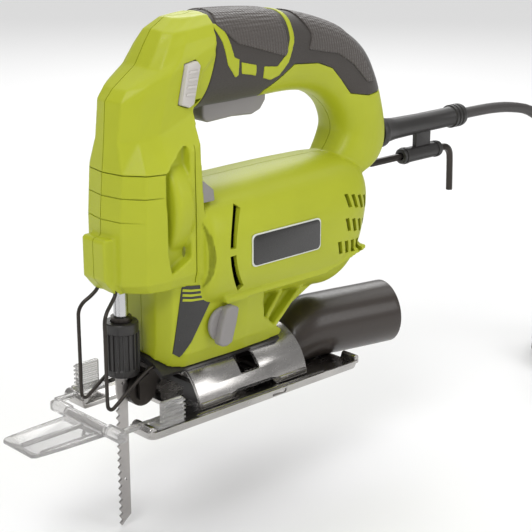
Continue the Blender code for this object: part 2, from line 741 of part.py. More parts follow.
def gear_outline(teeth, centre_z, phase, tip_share, root_share):
    """A gear's outline in the YZ plane: four points to a tooth, narrower at the tip."""
    radius = GEAR_MODULE * teeth / 2
    tip = radius + GEAR_MODULE * 0.85
    root = radius - GEAR_MODULE * 1.15
    points = []
    for tooth in range(teeth):
        middle = phase + 2 * math.pi * tooth / teeth
        pitch = 2 * math.pi / teeth
        for reach, share in ((root, -root_share), (tip, -tip_share), (tip, tip_share), (root, root_share)):
            angle = middle + pitch * share
            points.append((reach * math.cos(angle), centre_z + reach * math.sin(angle)))
    return points


def make_armature():
    start, end = GEAR_SPAN
    rear = REAR_BEARING_SPAN[0] - 1.5 * MM
    shaft = cylinder("shaft", "X", MOTOR_CENTRE, SHAFT_RADIUS, rear, start - 2 * MM, 24)
    teeth = gear_outline(PINION_TEETH, MOTOR_Z, math.pi / 2, 0.10, 0.31)
    pinion = plate("pinion", "YZ", teeth, start - 3 * MM, end + 2 * MM)
    pivot = (0, 0, MOTOR_Z)
    finish(joined(shaft, pinion), "armature_shaft", "ground_steel", pivot)
    bore = SHAFT_RADIUS + GAP
    low, high = STATOR_SPAN
    core = tube_ring("armature_core", "X", MOTOR_CENTRE, WINDING_RADIUS + GAP, CORE_RADIUS, low, high, 32)
    finish(core, "armature_core", "laminated_steel", pivot)
    rim = CORE_RADIUS - 1.2 * MM
    profile = [(bore, high + 8 * MM), (11 * MM, high + 8 * MM), (rim, high + 5 * MM), (rim, high + GAP),
               (WINDING_RADIUS, high + GAP), (WINDING_RADIUS, low - GAP), (rim, low - GAP),
               (rim, low - 5 * MM), (11 * MM, low - 8 * MM), (bore, low - 8 * MM)]
    finish(turned("armature_winding", "X", MOTOR_CENTRE, profile, 24), "armature_winding", "copper", pivot)
    low, high = COMMUTATOR_SPAN
    ring = tube_ring("commutator", "X", MOTOR_CENTRE, bore, COMMUTATOR_RADIUS, low, high, 24)
    finish(ring, "commutator", "copper", pivot)
    make_fan(bore, pivot)


def make_fan(bore, pivot):
    low, high = FAN_SPAN
    face = low + 1.6 * MM
    hub = 9 * MM
    profile = [(bore, high), (hub, high), (hub, face), (FAN_RADIUS, face), (FAN_RADIUS, low),
               (bore, low)]
    disc = turned("fan_disc", "X", MOTOR_CENTRE, profile, 27)
    for blade in range(9):
        vane = box("fan_vane_%d" % blade, (low + 0.5 * MM, -0.7 * MM, 8.4 * MM),
                   (high - 1 * MM, 0.7 * MM, FAN_RADIUS - 0.6 * MM))
        vane.data.transform(Matrix.Rotation(2 * math.pi * blade / 9, 4, "X"))
        vane.data.transform(Matrix.Translation((0, 0, MOTOR_Z)))
        joined(disc, vane)
    finish(disc, "cooling_fan", "black_plastic", pivot)


def make_stator():
    low, high = STATOR_SPAN
    core = tube_ring("stator_core", "X", MOTOR_CENTRE, STATOR_BORE, STATOR_RADIUS, low, high, 40)
    pocket = box("coil_pocket", (low - 1 * MM, -14.4 * MM, MOTOR_Z - 25.4 * MM),
                 (high + 1 * MM, 14.4 * MM, MOTOR_Z + 25.4 * MM))
    cut(core, pocket)
    left_pole = frozen(core)
    # the pocket runs from top to bottom, so the two poles are tied by the rings at its ends
    ties = tube_ring("stator_tie", "X", MOTOR_CENTRE, 26 * MM, STATOR_RADIUS, low, high, 40)
    joined(left_pole, ties)
    finish(left_pole, "stator_core", "laminated_steel")
    middle = (low + high) / 2
    half = (high - low) / 2
    for name, side in (("field_coil_left", 1), ("field_coil_right", -1)):
        loop = []
        for x, y, z in ((-1.0, 6, 21.5), (1.0, 6, 21.5), (1.22, 15.5, 16), (1.3, 23, 0),
                        (1.22, 15.5, -16), (1.0, 6, -21.5), (-1.0, 6, -21.5), (-1.22, 15.5, -16),
                        (-1.3, 23, 0), (-1.22, 15.5, 16)):
            loop.append((middle + x * half, side * y * MM, MOTOR_Z + z * MM))
        finish(closed_rod(name, loop, 3.2 * MM), name, "copper")


def closed_rod(name, points, radius):
    curve = bpy.data.curves.new(name, "CURVE")
    curve.dimensions = "3D"
    curve.bevel_depth = radius
    curve.bevel_resolution = 1
    spline = curve.splines.new("POLY")
    spline.points.add(len(points) - 1)
    for point, place in zip(spline.points, points):
        point.co = (*place, 1.0)
    spline.use_cyclic_u = True
    return frozen(link(bpy.data.objects.new(name, curve), CUTTERS))


def make_bearings():
    bore = SHAFT_RADIUS + GAP
    for name, span, radius in (("front_bearing", BEARING_SPAN, 11 * MM),
                               ("rear_bearing", REAR_BEARING_SPAN, 9.5 * MM)):
        ring = tube_ring(name, "X", MOTOR_CENTRE, bore, radius, *span, 24)
        finish(ring, name, "ground_steel")


BRUSH_X = -73 * MM


def make_brushes():
    for side_name, side in (("left", 1), ("right", -1)):
        low_y, high_y = sorted((side * 12 * MM, side * 26 * MM))
        holder = box("holder", (BRUSH_X - 5.5 * MM, low_y, MOTOR_Z - 4.5 * MM),
                     (BRUSH_X + 5.5 * MM, high_y, MOTOR_Z + 4.5 * MM))
        bore = box("holder_bore", (BRUSH_X - 3.8 * MM, -30 * MM, MOTOR_Z - 2.8 * MM),
                   (BRUSH_X + 3.8 * MM, 30 * MM, MOTOR_Z + 2.8 * MM))
        finish(cut(holder, bore), "brush_holder_" + side_name, "brass")
        low_y, high_y = sorted((side * (COMMUTATOR_RADIUS + GAP), side * 22 * MM))
        brush = box("brush", (BRUSH_X - 3.5 * MM, low_y, MOTOR_Z - 2.5 * MM),
                    (BRUSH_X + 3.5 * MM, high_y, MOTOR_Z + 2.5 * MM))
        finish(brush, "brush_" + side_name, "carbon")


# ---- gear train and plunger ------------------------------------------------------------------
GEAR_PIN_RADIUS = 4 * MM
CRANK_PIN_RADIUS = 3 * MM
YOKE_SPAN = (52 * MM, 58.8 * MM)
PLUNGER_TOP = 137 * MM
PLUNGER_FOOT = 55 * MM


def gear_plate_outline(clearance=0.0):
    half = ((17, 66), (22, 84), (23, 112), (19, 124), (10, 132))
    middle_z = 100
    points = []
    for y, z in half:
        away = Vector((y, z - middle_z)).normalized() * clearance
        points.append((y * MM + away.x, z * MM + away.y))
    return points + [(-y, z) for y, z in reversed(points)]


def make_gear_plate():
    """The bearing plate between motor and gears, with the fixed pin that the gear turns on."""
    points = gear_plate_outline()
    low, high = BEARING_SPAN
    bearing_plate = plate("gear_plate", "YZ", points, low - 1 * MM, high + 1 * MM)
    seat = cylinder("bearing_seat", "X", MOTOR_CENTRE, 11 * MM + GAP, 0, 40 * MM, 32)
    pin_hole = cylinder("pin_hole", "X", (0, 0, GEAR_Z), GEAR_PIN_RADIUS + GAP, 0, 40 * MM, 24)
    finish(cut(bearing_plate, seat, pin_hole), "gear_plate", "ground_steel")
    pin = cylinder("gear_pin", "X", (0, 0, GEAR_Z), GEAR_PIN_RADIUS, low, GEAR_SPAN[1] + 1 * MM, 24)
    finish(pin, "gear_pin", "ground_steel")


def make_drive_gear():
    start, end = GEAR_SPAN
    # a space stands where the pinion's top tooth comes up
    phase = -math.pi / 2 + math.pi / GEAR_TEETH
    gear = plate("gear", "YZ", gear_outline(GEAR_TEETH, GEAR_Z, phase, 0.09, 0.25), start, end)
    bore = cylinder("gear_bore", "X", (0, 0, GEAR_Z), GEAR_PIN_RADIUS + GAP, 0, 60 * MM, 24)
    crank_place = (0, 0, CRANK_Z)
    hole = cylinder("crank_hole", "X", crank_place, CRANK_PIN_RADIUS + GAP, 0, 60 * MM, 20)
    pivot = (0, 0, GEAR_Z)
    finish(cut(gear, bore, hole), "drive_gear", "ground_steel", pivot)
    pin = cylinder("crank_pin", "X", crank_place, CRANK_PIN_RADIUS, start, YOKE_SPAN[0] - 0.5 * MM, 20)
    finish(pin, "crank_pin", "ground_steel", pivot)


def make_plunger():
    place = (PLUNGER_X, 0, 0)
    bar = cylinder("plunger", "Z", place, PLUNGER_RADIUS, PLUNGER_FOOT, PLUNGER_TOP, 24)
    finish(bar, "plunger_rod", "ground_steel")
    slot_half = CRANK_RADIUS + CRANK_PIN_RADIUS + 0.5 * MM
    low, high = YOKE_SPAN
    yoke = box("yoke", (low, -slot_half - 3.5 * MM, CRANK_Z - 7 * MM),
               (high, slot_half + 3.5 * MM, CRANK_Z + 7 * MM), 0.8 * MM)
    slot = box("yoke_slot", (low - 1 * MM, -slot_half, CRANK_Z - CRANK_PIN_RADIUS - GAP),
               (high - 2.5 * MM, slot_half, CRANK_Z + CRANK_PIN_RADIUS + GAP))
    finish(cut(yoke, slot), "yoke", "dark_steel")
    # bushes that stand in the housing
    for name, base, top, outer in (("lower_bush", 75 * MM, 79.6 * MM, 6.2 * MM),
                                   ("upper_bush", 128 * MM, 135 * MM, 5.0 * MM)):
        ring = tube_ring(name, "Z", place, PLUNGER_RADIUS + 0.1 * MM, outer, base, top, 24)
        finish(ring, name, "brass")


CLAMP_LOW = 23.5 * MM
CLAMP_HIGH = 52 * MM


def make_clamp():
    place = (PLUNGER_X, 0, 0)
    core = cylinder("clamp_core", "Z", place, CLAMP_CORE_RADIUS, CLAMP_LOW + 1 * MM, PLUNGER_FOOT - GAP, 24)
    slot = box("blade_slot", (BLADE_FRONT - BLADE_WIDTH - GAP, -BLADE_THICKNESS / 2 - GAP, 10 * MM),
               (BLADE_FRONT + 4 * MM, BLADE_THICKNESS / 2 + GAP, BLADE_TOP_Z + GAP))
    finish(cut(core, slot), "clamp_core", "dark_steel")
    sleeve = tube_ring("clamp_sleeve", "Z", place, CLAMP_CORE_RADIUS + GAP, CLAMP_RADIUS,
                       CLAMP_LOW, CLAMP_HIGH, 32)
    finish(sleeve, "clamp_sleeve", "black_plastic", place)


def make_blade():
    rear = BLADE_FRONT - BLADE_WIDTH
    front = BLADE_FRONT
    points = [(rear, BLADE_TOP_Z), (rear, BLADE_TIP_Z + 4 * MM), (front - 1 * MM, BLADE_TIP_Z)]
    tooth_z = BLADE_TIP_Z + 1.5 * MM
    while tooth_z < 14 * MM:
        points.append((front, tooth_z))
        points.append((front - 1.6 * MM, tooth_z + TOOTH_PITCH * 0.35))
        tooth_z += TOOTH_PITCH
    points.append((front - 0.4 * MM, tooth_z))
    points.append((front - 0.4 * MM, BLADE_TOP_Z))
    half = BLADE_THICKNESS / 2
    finish(plate("blade", "XZ", points, -half, half), "blade", "ground_steel")


# ---- guide roller and finger guard -----------------------------------------------------------
ROLLER_X = BLADE_FRONT - BLADE_WIDTH - 0.5 * MM - 6.9 * MM


def make_roller():
    place = (ROLLER_X, 0, ROLLER_Z)
    groove = 6.9 * MM
    profile = [(ROLLER_RADIUS, 4.4 * MM), (ROLLER_RADIUS, 0.95 * MM), (groove, 0.95 * MM),
               (groove, -0.95 * MM), (ROLLER_RADIUS, -0.95 * MM), (ROLLER_RADIUS, -4.4 * MM),
               (1.8 * MM, -4.4 * MM), (1.8 * MM, 4.4 * MM)]
    finish(turned("guide_roller", "Y", place, profile, 28), "guide_roller", "dark_steel", place)
    arm = ((38, 26.4), (51, 26.4), (51, 21.8), (57.5, 19), (57.5, 9), (49, 9), (43, 21.8), (38, 24))
    points = [(x * MM, z * MM) for x, z in arm]
    bracket = plate("roller_bracket", "XZ", points, -6.6 * MM, 6.6 * MM)
    inside = box("bracket_gap", (30 * MM, -5 * MM, 0), (70 * MM, 5 * MM, 24 * MM))
    cut(bracket, inside)
    pin = cylinder("roller_pin", "Y", place, 1.5 * MM, -6 * MM, 6 * MM, 16)
    finish(joined(frozen(bracket), pin), "roller_bracket", "dark_steel")


def make_base_frame():
    """The dark wear frame between the belly and the shoe's arch."""
    low = BELLY_EDGE_ANGLE
    high = math.pi - low
    outline = arc((0, 0), FRAME_OUTER, low, high, 16) + arc((0, 0), FRAME_INNER, high, low, 16)
    frame = plate("base_frame", "YZ", outline, -30 * MM, 52 * MM)
    cut(frame, cylinder("frame_bolt_hole", "Z", (BOLT_X, 0, 0), 2.9 * MM, 20 * MM, 40 * MM, 16))
    wire_z = math.sqrt((FRAME_INNER + FRAME_THICKNESS / 2) ** 2 - WIRE_HALF_SPREAD ** 2)
    for side in (1, -1):
        place = (0, side * WIRE_HALF_SPREAD, wire_z)
        cut(frame, cylinder("wire_hole_%d" % side, "X", place, WIRE_RADIUS + 0.25 * MM,
                            44 * MM, 60 * MM, 10))
    finish(frame, "base_frame", "black_plastic")
    return wire_z


def make_wire_guard(wire_z):
    """One bent wire: both legs run from the frame, forward and up into the nose."""
    x_in, y_in = WIRE_ENTRY
    y = WIRE_HALF_SPREAD
    leg = [(46 * MM, y, wire_z), (54 * MM, y, wire_z - 0.3 * MM), (58 * MM, y, wire_z - 2.5 * MM),
           (76 * MM, y, 12.6 * MM), (79.4 * MM, y, 11 * MM), (81.4 * MM, y, 13.6 * MM),
           (81.5 * MM, y, 40 * MM), (81.4 * MM, y, 58 * MM), (79.4 * MM, y - 1 * MM, 62.4 * MM),
           (73 * MM, y_in + 0.5 * MM, 67.5 * MM), (x_in, y_in, 71 * MM), (x_in, y_in, 75 * MM),
           (x_in, y_in - 1.6 * MM, 76.8 * MM)]
    other = [(px, -py, pz) for px, py, pz in reversed(leg)]
    finish(rod("wire_guard", leg + other, WIRE_RADIUS), "wire_guard", "dark_steel")


# ---- shoe ----------------------------------------------------------------------------------
def shoe_outline(inset=0.0):
    front = SHOE_FRONT - inset
    side = SHOE_SIDE - inset
    corner = 4 * MM
    tail = 4 * MM
    left = [(front, side - corner), (front - corner, side), (-front + tail, side),
            (-front, side - tail)]
    right = [(x, -y) for x, y in reversed(left)]
    return left + right


def make_shoe():
    blank = plate("shoe_blank", "XY", shoe_outline(), 0, RIM_HEIGHT)
    tray = plate("shoe_tray", "XY", shoe_outline(RIM_THICKNESS), SHOE_THICKNESS, 20 * MM)
    slot = box("blade_slot_cut", (SHOE_FRONT - BLADE_SLOT_LENGTH, -BLADE_SLOT_WIDTH / 2, -5 * MM),
               (SHOE_FRONT + 5 * MM, BLADE_SLOT_WIDTH / 2, 20 * MM))
    roller_slot = box("roller_slot_cut", (SHOE_FRONT - ROLLER_SLOT_LENGTH, -ROLLER_SLOT_WIDTH / 2, -5 * MM),
                      (SHOE_FRONT + 5 * MM, ROLLER_SLOT_WIDTH / 2, 20 * MM))
    key_hole = cylinder("key_hole", "Z", (BOLT_X, 0, 0), 6 * MM, -5 * MM, 10 * MM, 24)
    tube_gap = box("tube_gap", (-SHOE_FRONT - 1 * MM, -15 * MM, SHOE_THICKNESS),
                   (-SHOE_FRONT + 4 * MM, 24 * MM, 20 * MM))
    finish(cut(blank, tray, slot, roller_slot, key_hole, tube_gap), "shoe_plate", "pressed_steel")


def make_saddle():
    outer = SADDLE_RADIUS
    inner = SADDLE_RADIUS - SADDLE_THICKNESS
    foot = SHOE_THICKNESS + GAP
    start = math.asin(foot / outer)
    inner_start = math.asin(foot / inner)
    outline = arc((0, 0), outer, start, math.pi - start, 28)
    outline += arc((0, 0), inner, math.pi - inner_start, inner_start, 28)
    arch = plate("saddle", "YZ", outline, SADDLE_REAR, SADDLE_FRONT)
    low, high = SADDLE_WINDOW
    window = box("bolt_window", (low, -40 * MM, 13.3 * MM), (high, 40 * MM, 40 * MM))
    mouse_hole = box("side_opening", (-20 * MM, -40 * MM, 0), (10.5 * MM, 40 * MM, 7 * MM))
    finish(cut(arch, window, mouse_hole), "shoe_saddle", "pressed_steel")


def make_dust_hood():
    """The dark duct mouth that fills the front of the arch, behind the blade."""
    reach = SADDLE_RADIUS - SADDLE_THICKNESS - 0.6 * MM
    start = math.radians(12)
    outline = arc((0, 0), reach, start, math.pi - start, 20)
    hood = plate("dust_hood", "YZ", outline, 29 * MM, SADDLE_FRONT - 1 * MM)
    top = box("hood_top", (20 * MM, -40 * MM, 14.5 * MM), (50 * MM, 40 * MM, 40 * MM))
    mouth = box("hood_mouth", (20 * MM, -12 * MM, 0), (50 * MM, 12 * MM, 11.5 * MM))
    finish(cut(hood, top, mouth), "dust_hood", "black_plastic")


def make_bevel_bolt():
    place = (BOLT_X, 0, 0)
    inner = SADDLE_RADIUS - SADDLE_THICKNESS - GAP
    width = math.radians(15)
    middle = math.pi / 2
    outline = arc((0, 0), inner, middle - width, middle + width, 8)
    outline += arc((0, 0), inner - 2.4 * MM, middle + width, middle - width, 8)
    washer = plate("washer_plate", "YZ", outline, BOLT_X - 9.5 * MM, BOLT_X + 9.5 * MM)
    hole = cylinder("washer_hole", "Z", place, 2.5 * MM + GAP, 10 * MM, 40 * MM, 16)
    finish(cut(washer, hole), "washer_plate", "dark_steel")
    seat = (inner - 2.4 * MM) * math.cos(width * 0.7) - GAP
    head = cylinder("bolt_head", "Z", place, 4.2 * MM, seat - 4.6 * MM, seat, 20)
    shank = cylinder("bolt_shank", "Z", place, 2.5 * MM, seat - 1 * MM, 42 * MM, 16)
    socket = cylinder("bolt_socket", "Z", place, 2.2 * MM, seat - 6 * MM, seat - 2 * MM, 6)
    joined(shank, head)
    finish(cut(frozen(shank), socket), "bevel_bolt", "dark_steel")
    nut = cylinder("bevel_nut", "Z", place, 4.2 * MM, 33.4 * MM, 37 * MM, 6)
    nut_hole = cylinder("nut_hole", "Z", place, 2.5 * MM + GAP, 20 * MM, 50 * MM, 16)
    finish(cut(nut, nut_hole), "bevel_nut", "ground_steel")


BARREL_X = SHOE_FRONT + 11.6 * MM
BARREL_Z = 3.4 * MM
BARREL_RADIUS = 3.2 * MM
BARREL_HALF = 16.2 * MM
ARM_INNER = BLADE_SLOT_WIDTH / 2 + 5.5 * MM
ARM_OUTER = ARM_INNER + 4 * MM
ARM_LOW = RIM_HEIGHT + GAP
PAD_SPAN = (SHOE_FRONT - 22 * MM, SHOE_FRONT - 8 * MM)
PAD_TOP = 19 * MM


def make_shield():
    """A clear carrier that clips over the shoe's front, and the flap that turns on it."""
    half_gap = BARREL_HALF
    bar = box("carrier_bar", (BARREL_X - 3.6 * MM, -ARM_OUTER, 0.8 * MM),
              (BARREL_X + 2.4 * MM, ARM_OUTER, 6.6 * MM), 0.8 * MM)
    knuckle_room = box("knuckle_room", (BARREL_X - 6 * MM, -half_gap - GAP, -4 * MM),
                       (BARREL_X + 6 * MM, half_gap + GAP, 12 * MM))
    pin = cylinder("carrier_pin", "Y", (BARREL_X, 0, BARREL_Z), 1.3 * MM, -20 * MM, 20 * MM, 12)
    carrier = cut(bar, knuckle_room)
    carrier = joined(frozen(carrier), pin)
    for side in (1, -1):
        low_y, high_y = sorted((side * ARM_INNER, side * ARM_OUTER))
        arm = box("arm_%d" % side, (PAD_SPAN[1] - 1 * MM, low_y, ARM_LOW), (BARREL_X, high_y, ARM_LOW + 2.2 * MM))
        low_y, high_y = sorted((side * ARM_INNER, side * 37 * MM))
        shelf = box("shelf_%d" % side, (PAD_SPAN[0], low_y, ARM_LOW), (PAD_SPAN[1] + 3 * MM, high_y, ARM_LOW + 2.2 * MM))
        low_y, high_y = sorted((side * 34 * MM, side * 37 * MM))
        pad = box("pad_%d" % side, (PAD_SPAN[0], low_y, ARM_LOW), (PAD_SPAN[1], high_y, PAD_TOP), 0.6 * MM)
        joined(carrier, arm, shelf, pad)
    finish(carrier, "shield_carrier", "clear_plastic")
    pivot = (BARREL_X, 0, BARREL_Z)
    barrel = cylinder("flap_barrel", "Y", pivot, BARREL_RADIUS, -half_gap, half_gap, 24)
    root_x = BARREL_X - 1 * MM
    tip_x = BARREL_X + 42.4 * MM
    tongue = plate("tongue", "XY", ((root_x, -half_gap), (tip_x, -13.6 * MM), (tip_x, 13.6 * MM),
                                    (root_x, half_gap)), 0.3 * MM, 2.4 * MM)
    rib = box("tongue_rib", (root_x, -1.2 * MM, 1 * MM), (tip_x - 3 * MM, 1.2 * MM, 3.4 * MM))
    joined(barrel, tongue, rib)
    bore = cylinder("flap_bore", "Y", pivot, 1.3 * MM + GAP, -30 * MM, 30 * MM, 16)
    finish(cut(frozen(barrel), bore), "shield_flap", "clear_plastic", pivot)


# ---- dust tube -----------------------------------------------------------------------------
# Centres and radii along the tube: (x, y, z, radius), millimetres. It starts inside the arch.
TUBE_STATIONS = (
    (-27, 0, 9.2, 14.2),
    (-43.4, 0, 9.6, 14.4),
    (-50, 1.2, 13, 16.6),
    (-62, 3.8, 18, 18.0),
    (-76, 6.8, 18.6, 18.2),
    (-100, 12, 18.6, 18.2),
    (-117, 15.6, 18.6, 18.2),
)


def tube_rings(inset, sides=24):
    rings = []
    count = len(TUBE_STATIONS)
    for i, (x, y, z, radius) in enumerate(TUBE_STATIONS):
        before = Vector(TUBE_STATIONS[max(i - 1, 0)][:3])
        after = Vector(TUBE_STATIONS[min(i + 1, count - 1)][:3])
        along = after - before
        along.z = 0.0
        along.normalize()
        side = Vector((0, 0, 1)).cross(along).normalized()
        up = along.cross(side)
        ring = []
        for k in range(sides):
            angle = 2 * math.pi * k / sides
            reach = (radius * MM - inset)
            point = Vector((x, y, z)) * MM + side * reach * math.cos(angle) + up * reach * math.sin(angle)
            if point.x > -SHOE_FRONT - 5 * MM:
                point.z = max(point.z, SHOE_THICKNESS + GAP + inset)
            ring.append(point)
        rings.append(ring)
    return rings


def make_dust_tube():
    tube = skin_rings("dust_tube", tube_rings(0.0))
    rings = tube_rings(TUBE_WALL)
    forward = Vector((3 * MM, 0, 0))
    rings[0] = [point + forward for point in rings[0]]
    back = Vector((-4 * MM, 0.85 * MM, 0))
    rings[-1] = [point + back for point in rings[-1]]
    inside = skin_rings("dust_tube_bore", rings)
    finish(cut(tube, inside), "dust_tube", "black_plastic")


# ---- cord boot, key and cord -----------------------------------------------------------------
BOOT_END_X = -200 * MM


def make_boot():
    profile = [(0, BOOT_END_X), (5.4 * MM, BOOT_END_X), (7.0 * MM, -198 * MM), (7.0 * MM, -193 * MM),
               (6.1 * MM, -190 * MM), (6.1 * MM, -160 * MM), (6.6 * MM, -134 * MM), (9.2 * MM, -127 * MM),
               (9.2 * MM, -123.2 * MM), (6.2 * MM, -123 * MM), (6.2 * MM, -108 * MM), (0, -108 * MM)]
    boot = turned("cord_boot", "X", (0, 0, BOOT_Z), profile, 24)
    # the key holder hangs below the boot on a short strut
    strut = box("key_strut", (-171 * MM, -1.6 * MM, 106 * MM), (-158 * MM, 1.6 * MM, 117 * MM))
    holder = cylinder("key_holder", "X", (0, 0, KEY_Z), 4.6 * MM, -180 * MM, -146 * MM, 20)
    joined(boot, strut, holder)
    bore = cylinder("key_bore", "X", (0, 0, KEY_Z), KEY_RADIUS + GAP, -190 * MM, -140 * MM, 16)
    finish(cut(frozen(boot), bore), "cord_boot", "black_plastic")


KEY_RADIUS = 2.1 * MM
KEY_Z = 103.6 * MM


def make_key():
    """The hexagon key for the bevel bolt, an L, held under the boot."""
    path = [(-120 * MM, 0, KEY_Z), (-185 * MM, 0, KEY_Z), (-189.4 * MM, 0, KEY_Z - 1.4 * MM),
            (-191 * MM, 0, KEY_Z - 6 * MM), (-192 * MM, 0, KEY_Z - 28 * MM)]
    finish(rod("hex_key", path, KEY_RADIUS, 1), "hex_key", "dark_steel")


# The floor lies just under the blade, which rests at the bottom of its stroke.
FLOOR_Z = BLADE_TIP_Z - 1.5 * MM
COIL_CENTRE = (-330 * MM, 27 * MM)
COIL_RADIUS = 37.5 * MM
COIL_PITCH = CORD_DIAMETER + 0.2 * MM
COIL_COLUMNS = 3
COIL_LAYERS = 4
COIL_HALF = COIL_PITCH * COIL_COLUMNS / 2
COIL_LOW = FLOOR_Z + 1.6 * MM
COIL_TOP = COIL_LOW + COIL_PITCH * COIL_LAYERS
PLUG_X = COIL_CENTRE[0] + 28 * MM
PLUG_Y = COIL_CENTRE[1] + COIL_RADIUS + COIL_PITCH
PLUG_HEIGHT = 22 * MM
PLUG_WIDTH = 36 * MM

# The cord's way from the boot down to the coil, chosen by hand, in millimetres.
CORD_ROUTE = (
    (-200.3, 0, 121.5), (-215, 0, 121.5), (-232, 0, 121), (-250, 0, 119), (-270, -0.5, 114),
    (-287, -1.5, 103), (-298, -3, 86), (-303, -4.5, 63), (-304.8, -6, 39), (-305.4, -7.8, 14),
    (-305.6, -9.2, -4), (-309.1, -10.1, -17.5), (-319, -10.5, -27.4), (-333, -10.5, -31),
)


def make_cord():
    points = [Vector(point) * MM for point in CORD_ROUTE]
    finish(rod("cord", smooth_path(points, 2), CORD_DIAMETER / 2), "cord", "cord_rubber")
    outer = COIL_RADIUS + COIL_HALF
    inner = COIL_RADIUS - COIL_HALF
    ring = tube_ring("cord_coil", "Z", COIL_CENTRE + (0,), inner, outer, COIL_LOW, COIL_TOP, 40)
    finish(ring, "cord_coil", "cord_rubber")
    x = COIL_CENTRE[0] - COIL_RADIUS
    y = COIL_CENTRE[1]
    room = COIL_HALF + 0.8 * MM
    wall = 1.2 * MM
    strap = 4 * MM
    tie = box("coil_tie", (x - room - wall, y - strap, COIL_LOW - 0.3 * MM - wall),
              (x + room + wall, y + strap, COIL_TOP + 0.3 * MM + wall))
    space = box("tie_space", (x - room, y - 2 * strap, COIL_LOW - 0.3 * MM),
                (x + room, y + 2 * strap, COIL_TOP + 0.3 * MM))
    finish(cut(tie, space), "coil_tie", "black_plastic")


def make_plug():
    """A moulded two-pin plug, lying on the floor at the cord's far end."""
    z = FLOOR_Z + PLUG_HEIGHT / 2
    tail = cylinder("plug", "X", (0, PLUG_Y, z), CORD_DIAMETER / 2 + 1.2 * MM, PLUG_X, PLUG_X + 24 * MM, 16)
    body = box("plug_body", (PLUG_X + 20 * MM, PLUG_Y - PLUG_WIDTH / 2, FLOOR_Z),
               (PLUG_X + 52 * MM, PLUG_Y + PLUG_WIDTH / 2, FLOOR_Z + PLUG_HEIGHT), 4 * MM)
    joined(tail, body)
    for side in (1, -1):
        pin = cylinder("plug_pin_%d" % side, "X", (0, PLUG_Y + side * 9.5 * MM, z), 2.4 * MM,
                       PLUG_X + 48 * MM, PLUG_X + 71 * MM, 14)
        joined(tail, pin)
    finish(tail, "plug", "black_plastic")


def main():
    make_materials()
    make_housing()
    make_grips()
    make_screws()
    make_badges()
    make_trigger()
    make_lock_button()
    make_blower_knob()
    make_electrics()
    make_armature()
    make_stator()
    make_bearings()
    make_brushes()
    make_gear_plate()
    make_drive_gear()
    make_plunger()
    make_clamp()
    make_blade()
    make_roller()
    make_wire_guard(make_base_frame())
    make_shoe()
    make_saddle()
    make_dust_hood()
    make_bevel_bolt()
    make_shield()
    make_dust_tube()
    make_boot()
    make_key()
    make_cord()
    make_plug()


main()
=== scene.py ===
"""Corded jigsaw with a top handle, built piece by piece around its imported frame."""
import math

import bpy
from mathutils import Matrix, Vector


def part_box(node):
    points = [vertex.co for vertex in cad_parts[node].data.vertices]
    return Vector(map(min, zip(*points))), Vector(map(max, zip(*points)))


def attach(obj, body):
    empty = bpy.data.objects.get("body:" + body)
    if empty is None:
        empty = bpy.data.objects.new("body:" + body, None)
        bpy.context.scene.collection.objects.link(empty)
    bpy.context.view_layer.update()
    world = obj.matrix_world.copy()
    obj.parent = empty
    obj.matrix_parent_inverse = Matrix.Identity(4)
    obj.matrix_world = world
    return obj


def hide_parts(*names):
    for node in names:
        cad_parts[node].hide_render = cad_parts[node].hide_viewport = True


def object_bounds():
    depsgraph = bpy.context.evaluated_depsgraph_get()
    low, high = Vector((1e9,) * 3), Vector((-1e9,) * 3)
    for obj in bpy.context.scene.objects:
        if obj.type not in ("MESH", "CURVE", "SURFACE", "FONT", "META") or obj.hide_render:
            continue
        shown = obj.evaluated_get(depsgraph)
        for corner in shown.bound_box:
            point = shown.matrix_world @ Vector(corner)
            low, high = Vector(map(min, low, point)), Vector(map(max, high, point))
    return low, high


bl_info = {
    "name": "Corded Jigsaw",
    "version": (1, 0, 0),
    "blender": (4, 5, 0),
    "location": "3D View > Sidebar > Jigsaw",
    "description": "Models, finishes and stages a corded jigsaw around its frame",
    "category": "Object",
}

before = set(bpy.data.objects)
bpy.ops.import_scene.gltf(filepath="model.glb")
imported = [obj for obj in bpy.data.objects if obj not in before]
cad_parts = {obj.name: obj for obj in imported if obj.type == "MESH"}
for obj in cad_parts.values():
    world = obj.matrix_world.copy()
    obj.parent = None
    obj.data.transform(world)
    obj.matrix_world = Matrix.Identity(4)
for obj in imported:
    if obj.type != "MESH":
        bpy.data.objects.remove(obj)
CAD_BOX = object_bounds()
MM = 0.001
# Sizes below are in millimetres from the middle of the shoe: x forward, y to the tool's left,
# z up from the sole.
MIDDLE_X = (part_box("shoe_plate")[0].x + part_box("shoe_plate")[1].x) / 2
FLOOR_Z = CAD_BOX[0][2]
SEAM_HALF = 0.22


# ---- hand tools ----------------------------------------------------------------------------
def at(x, y, z):
    """A place given in millimetres, as a point in the frame."""
    return Vector((MIDDLE_X + x * MM, y * MM, z * MM))


def deselect():
    bpy.ops.object.select_all(action="DESELECT")


def pick(*objs):
    deselect()
    for obj in objs:
        obj.select_set(True)
    bpy.context.view_layer.objects.active = objs[0]


def named(name):
    obj = bpy.context.object
    obj.name = name
    obj.data.name = name
    return obj


def edit_all(obj):
    pick(obj)
    bpy.ops.object.mode_set(mode="EDIT")
    bpy.ops.mesh.select_all(action="SELECT")


def leave_edit():
    bpy.ops.object.mode_set(mode="OBJECT")


def face_out(obj):
    edit_all(obj)
    bpy.ops.mesh.remove_doubles(threshold=0.000001)
    bpy.ops.mesh.normals_make_consistent(inside=False)
    leave_edit()
    return obj


def apply_modifiers(obj):
    pick(obj)
    for change in list(obj.modifiers):
        bpy.ops.object.modifier_apply(modifier=change.name)
    return obj


def settle(obj):
    """Puts the object's place, turn and scale into its mesh."""
    pick(obj)
    bpy.ops.object.transform_apply(location=True, rotation=True, scale=True)
    return obj


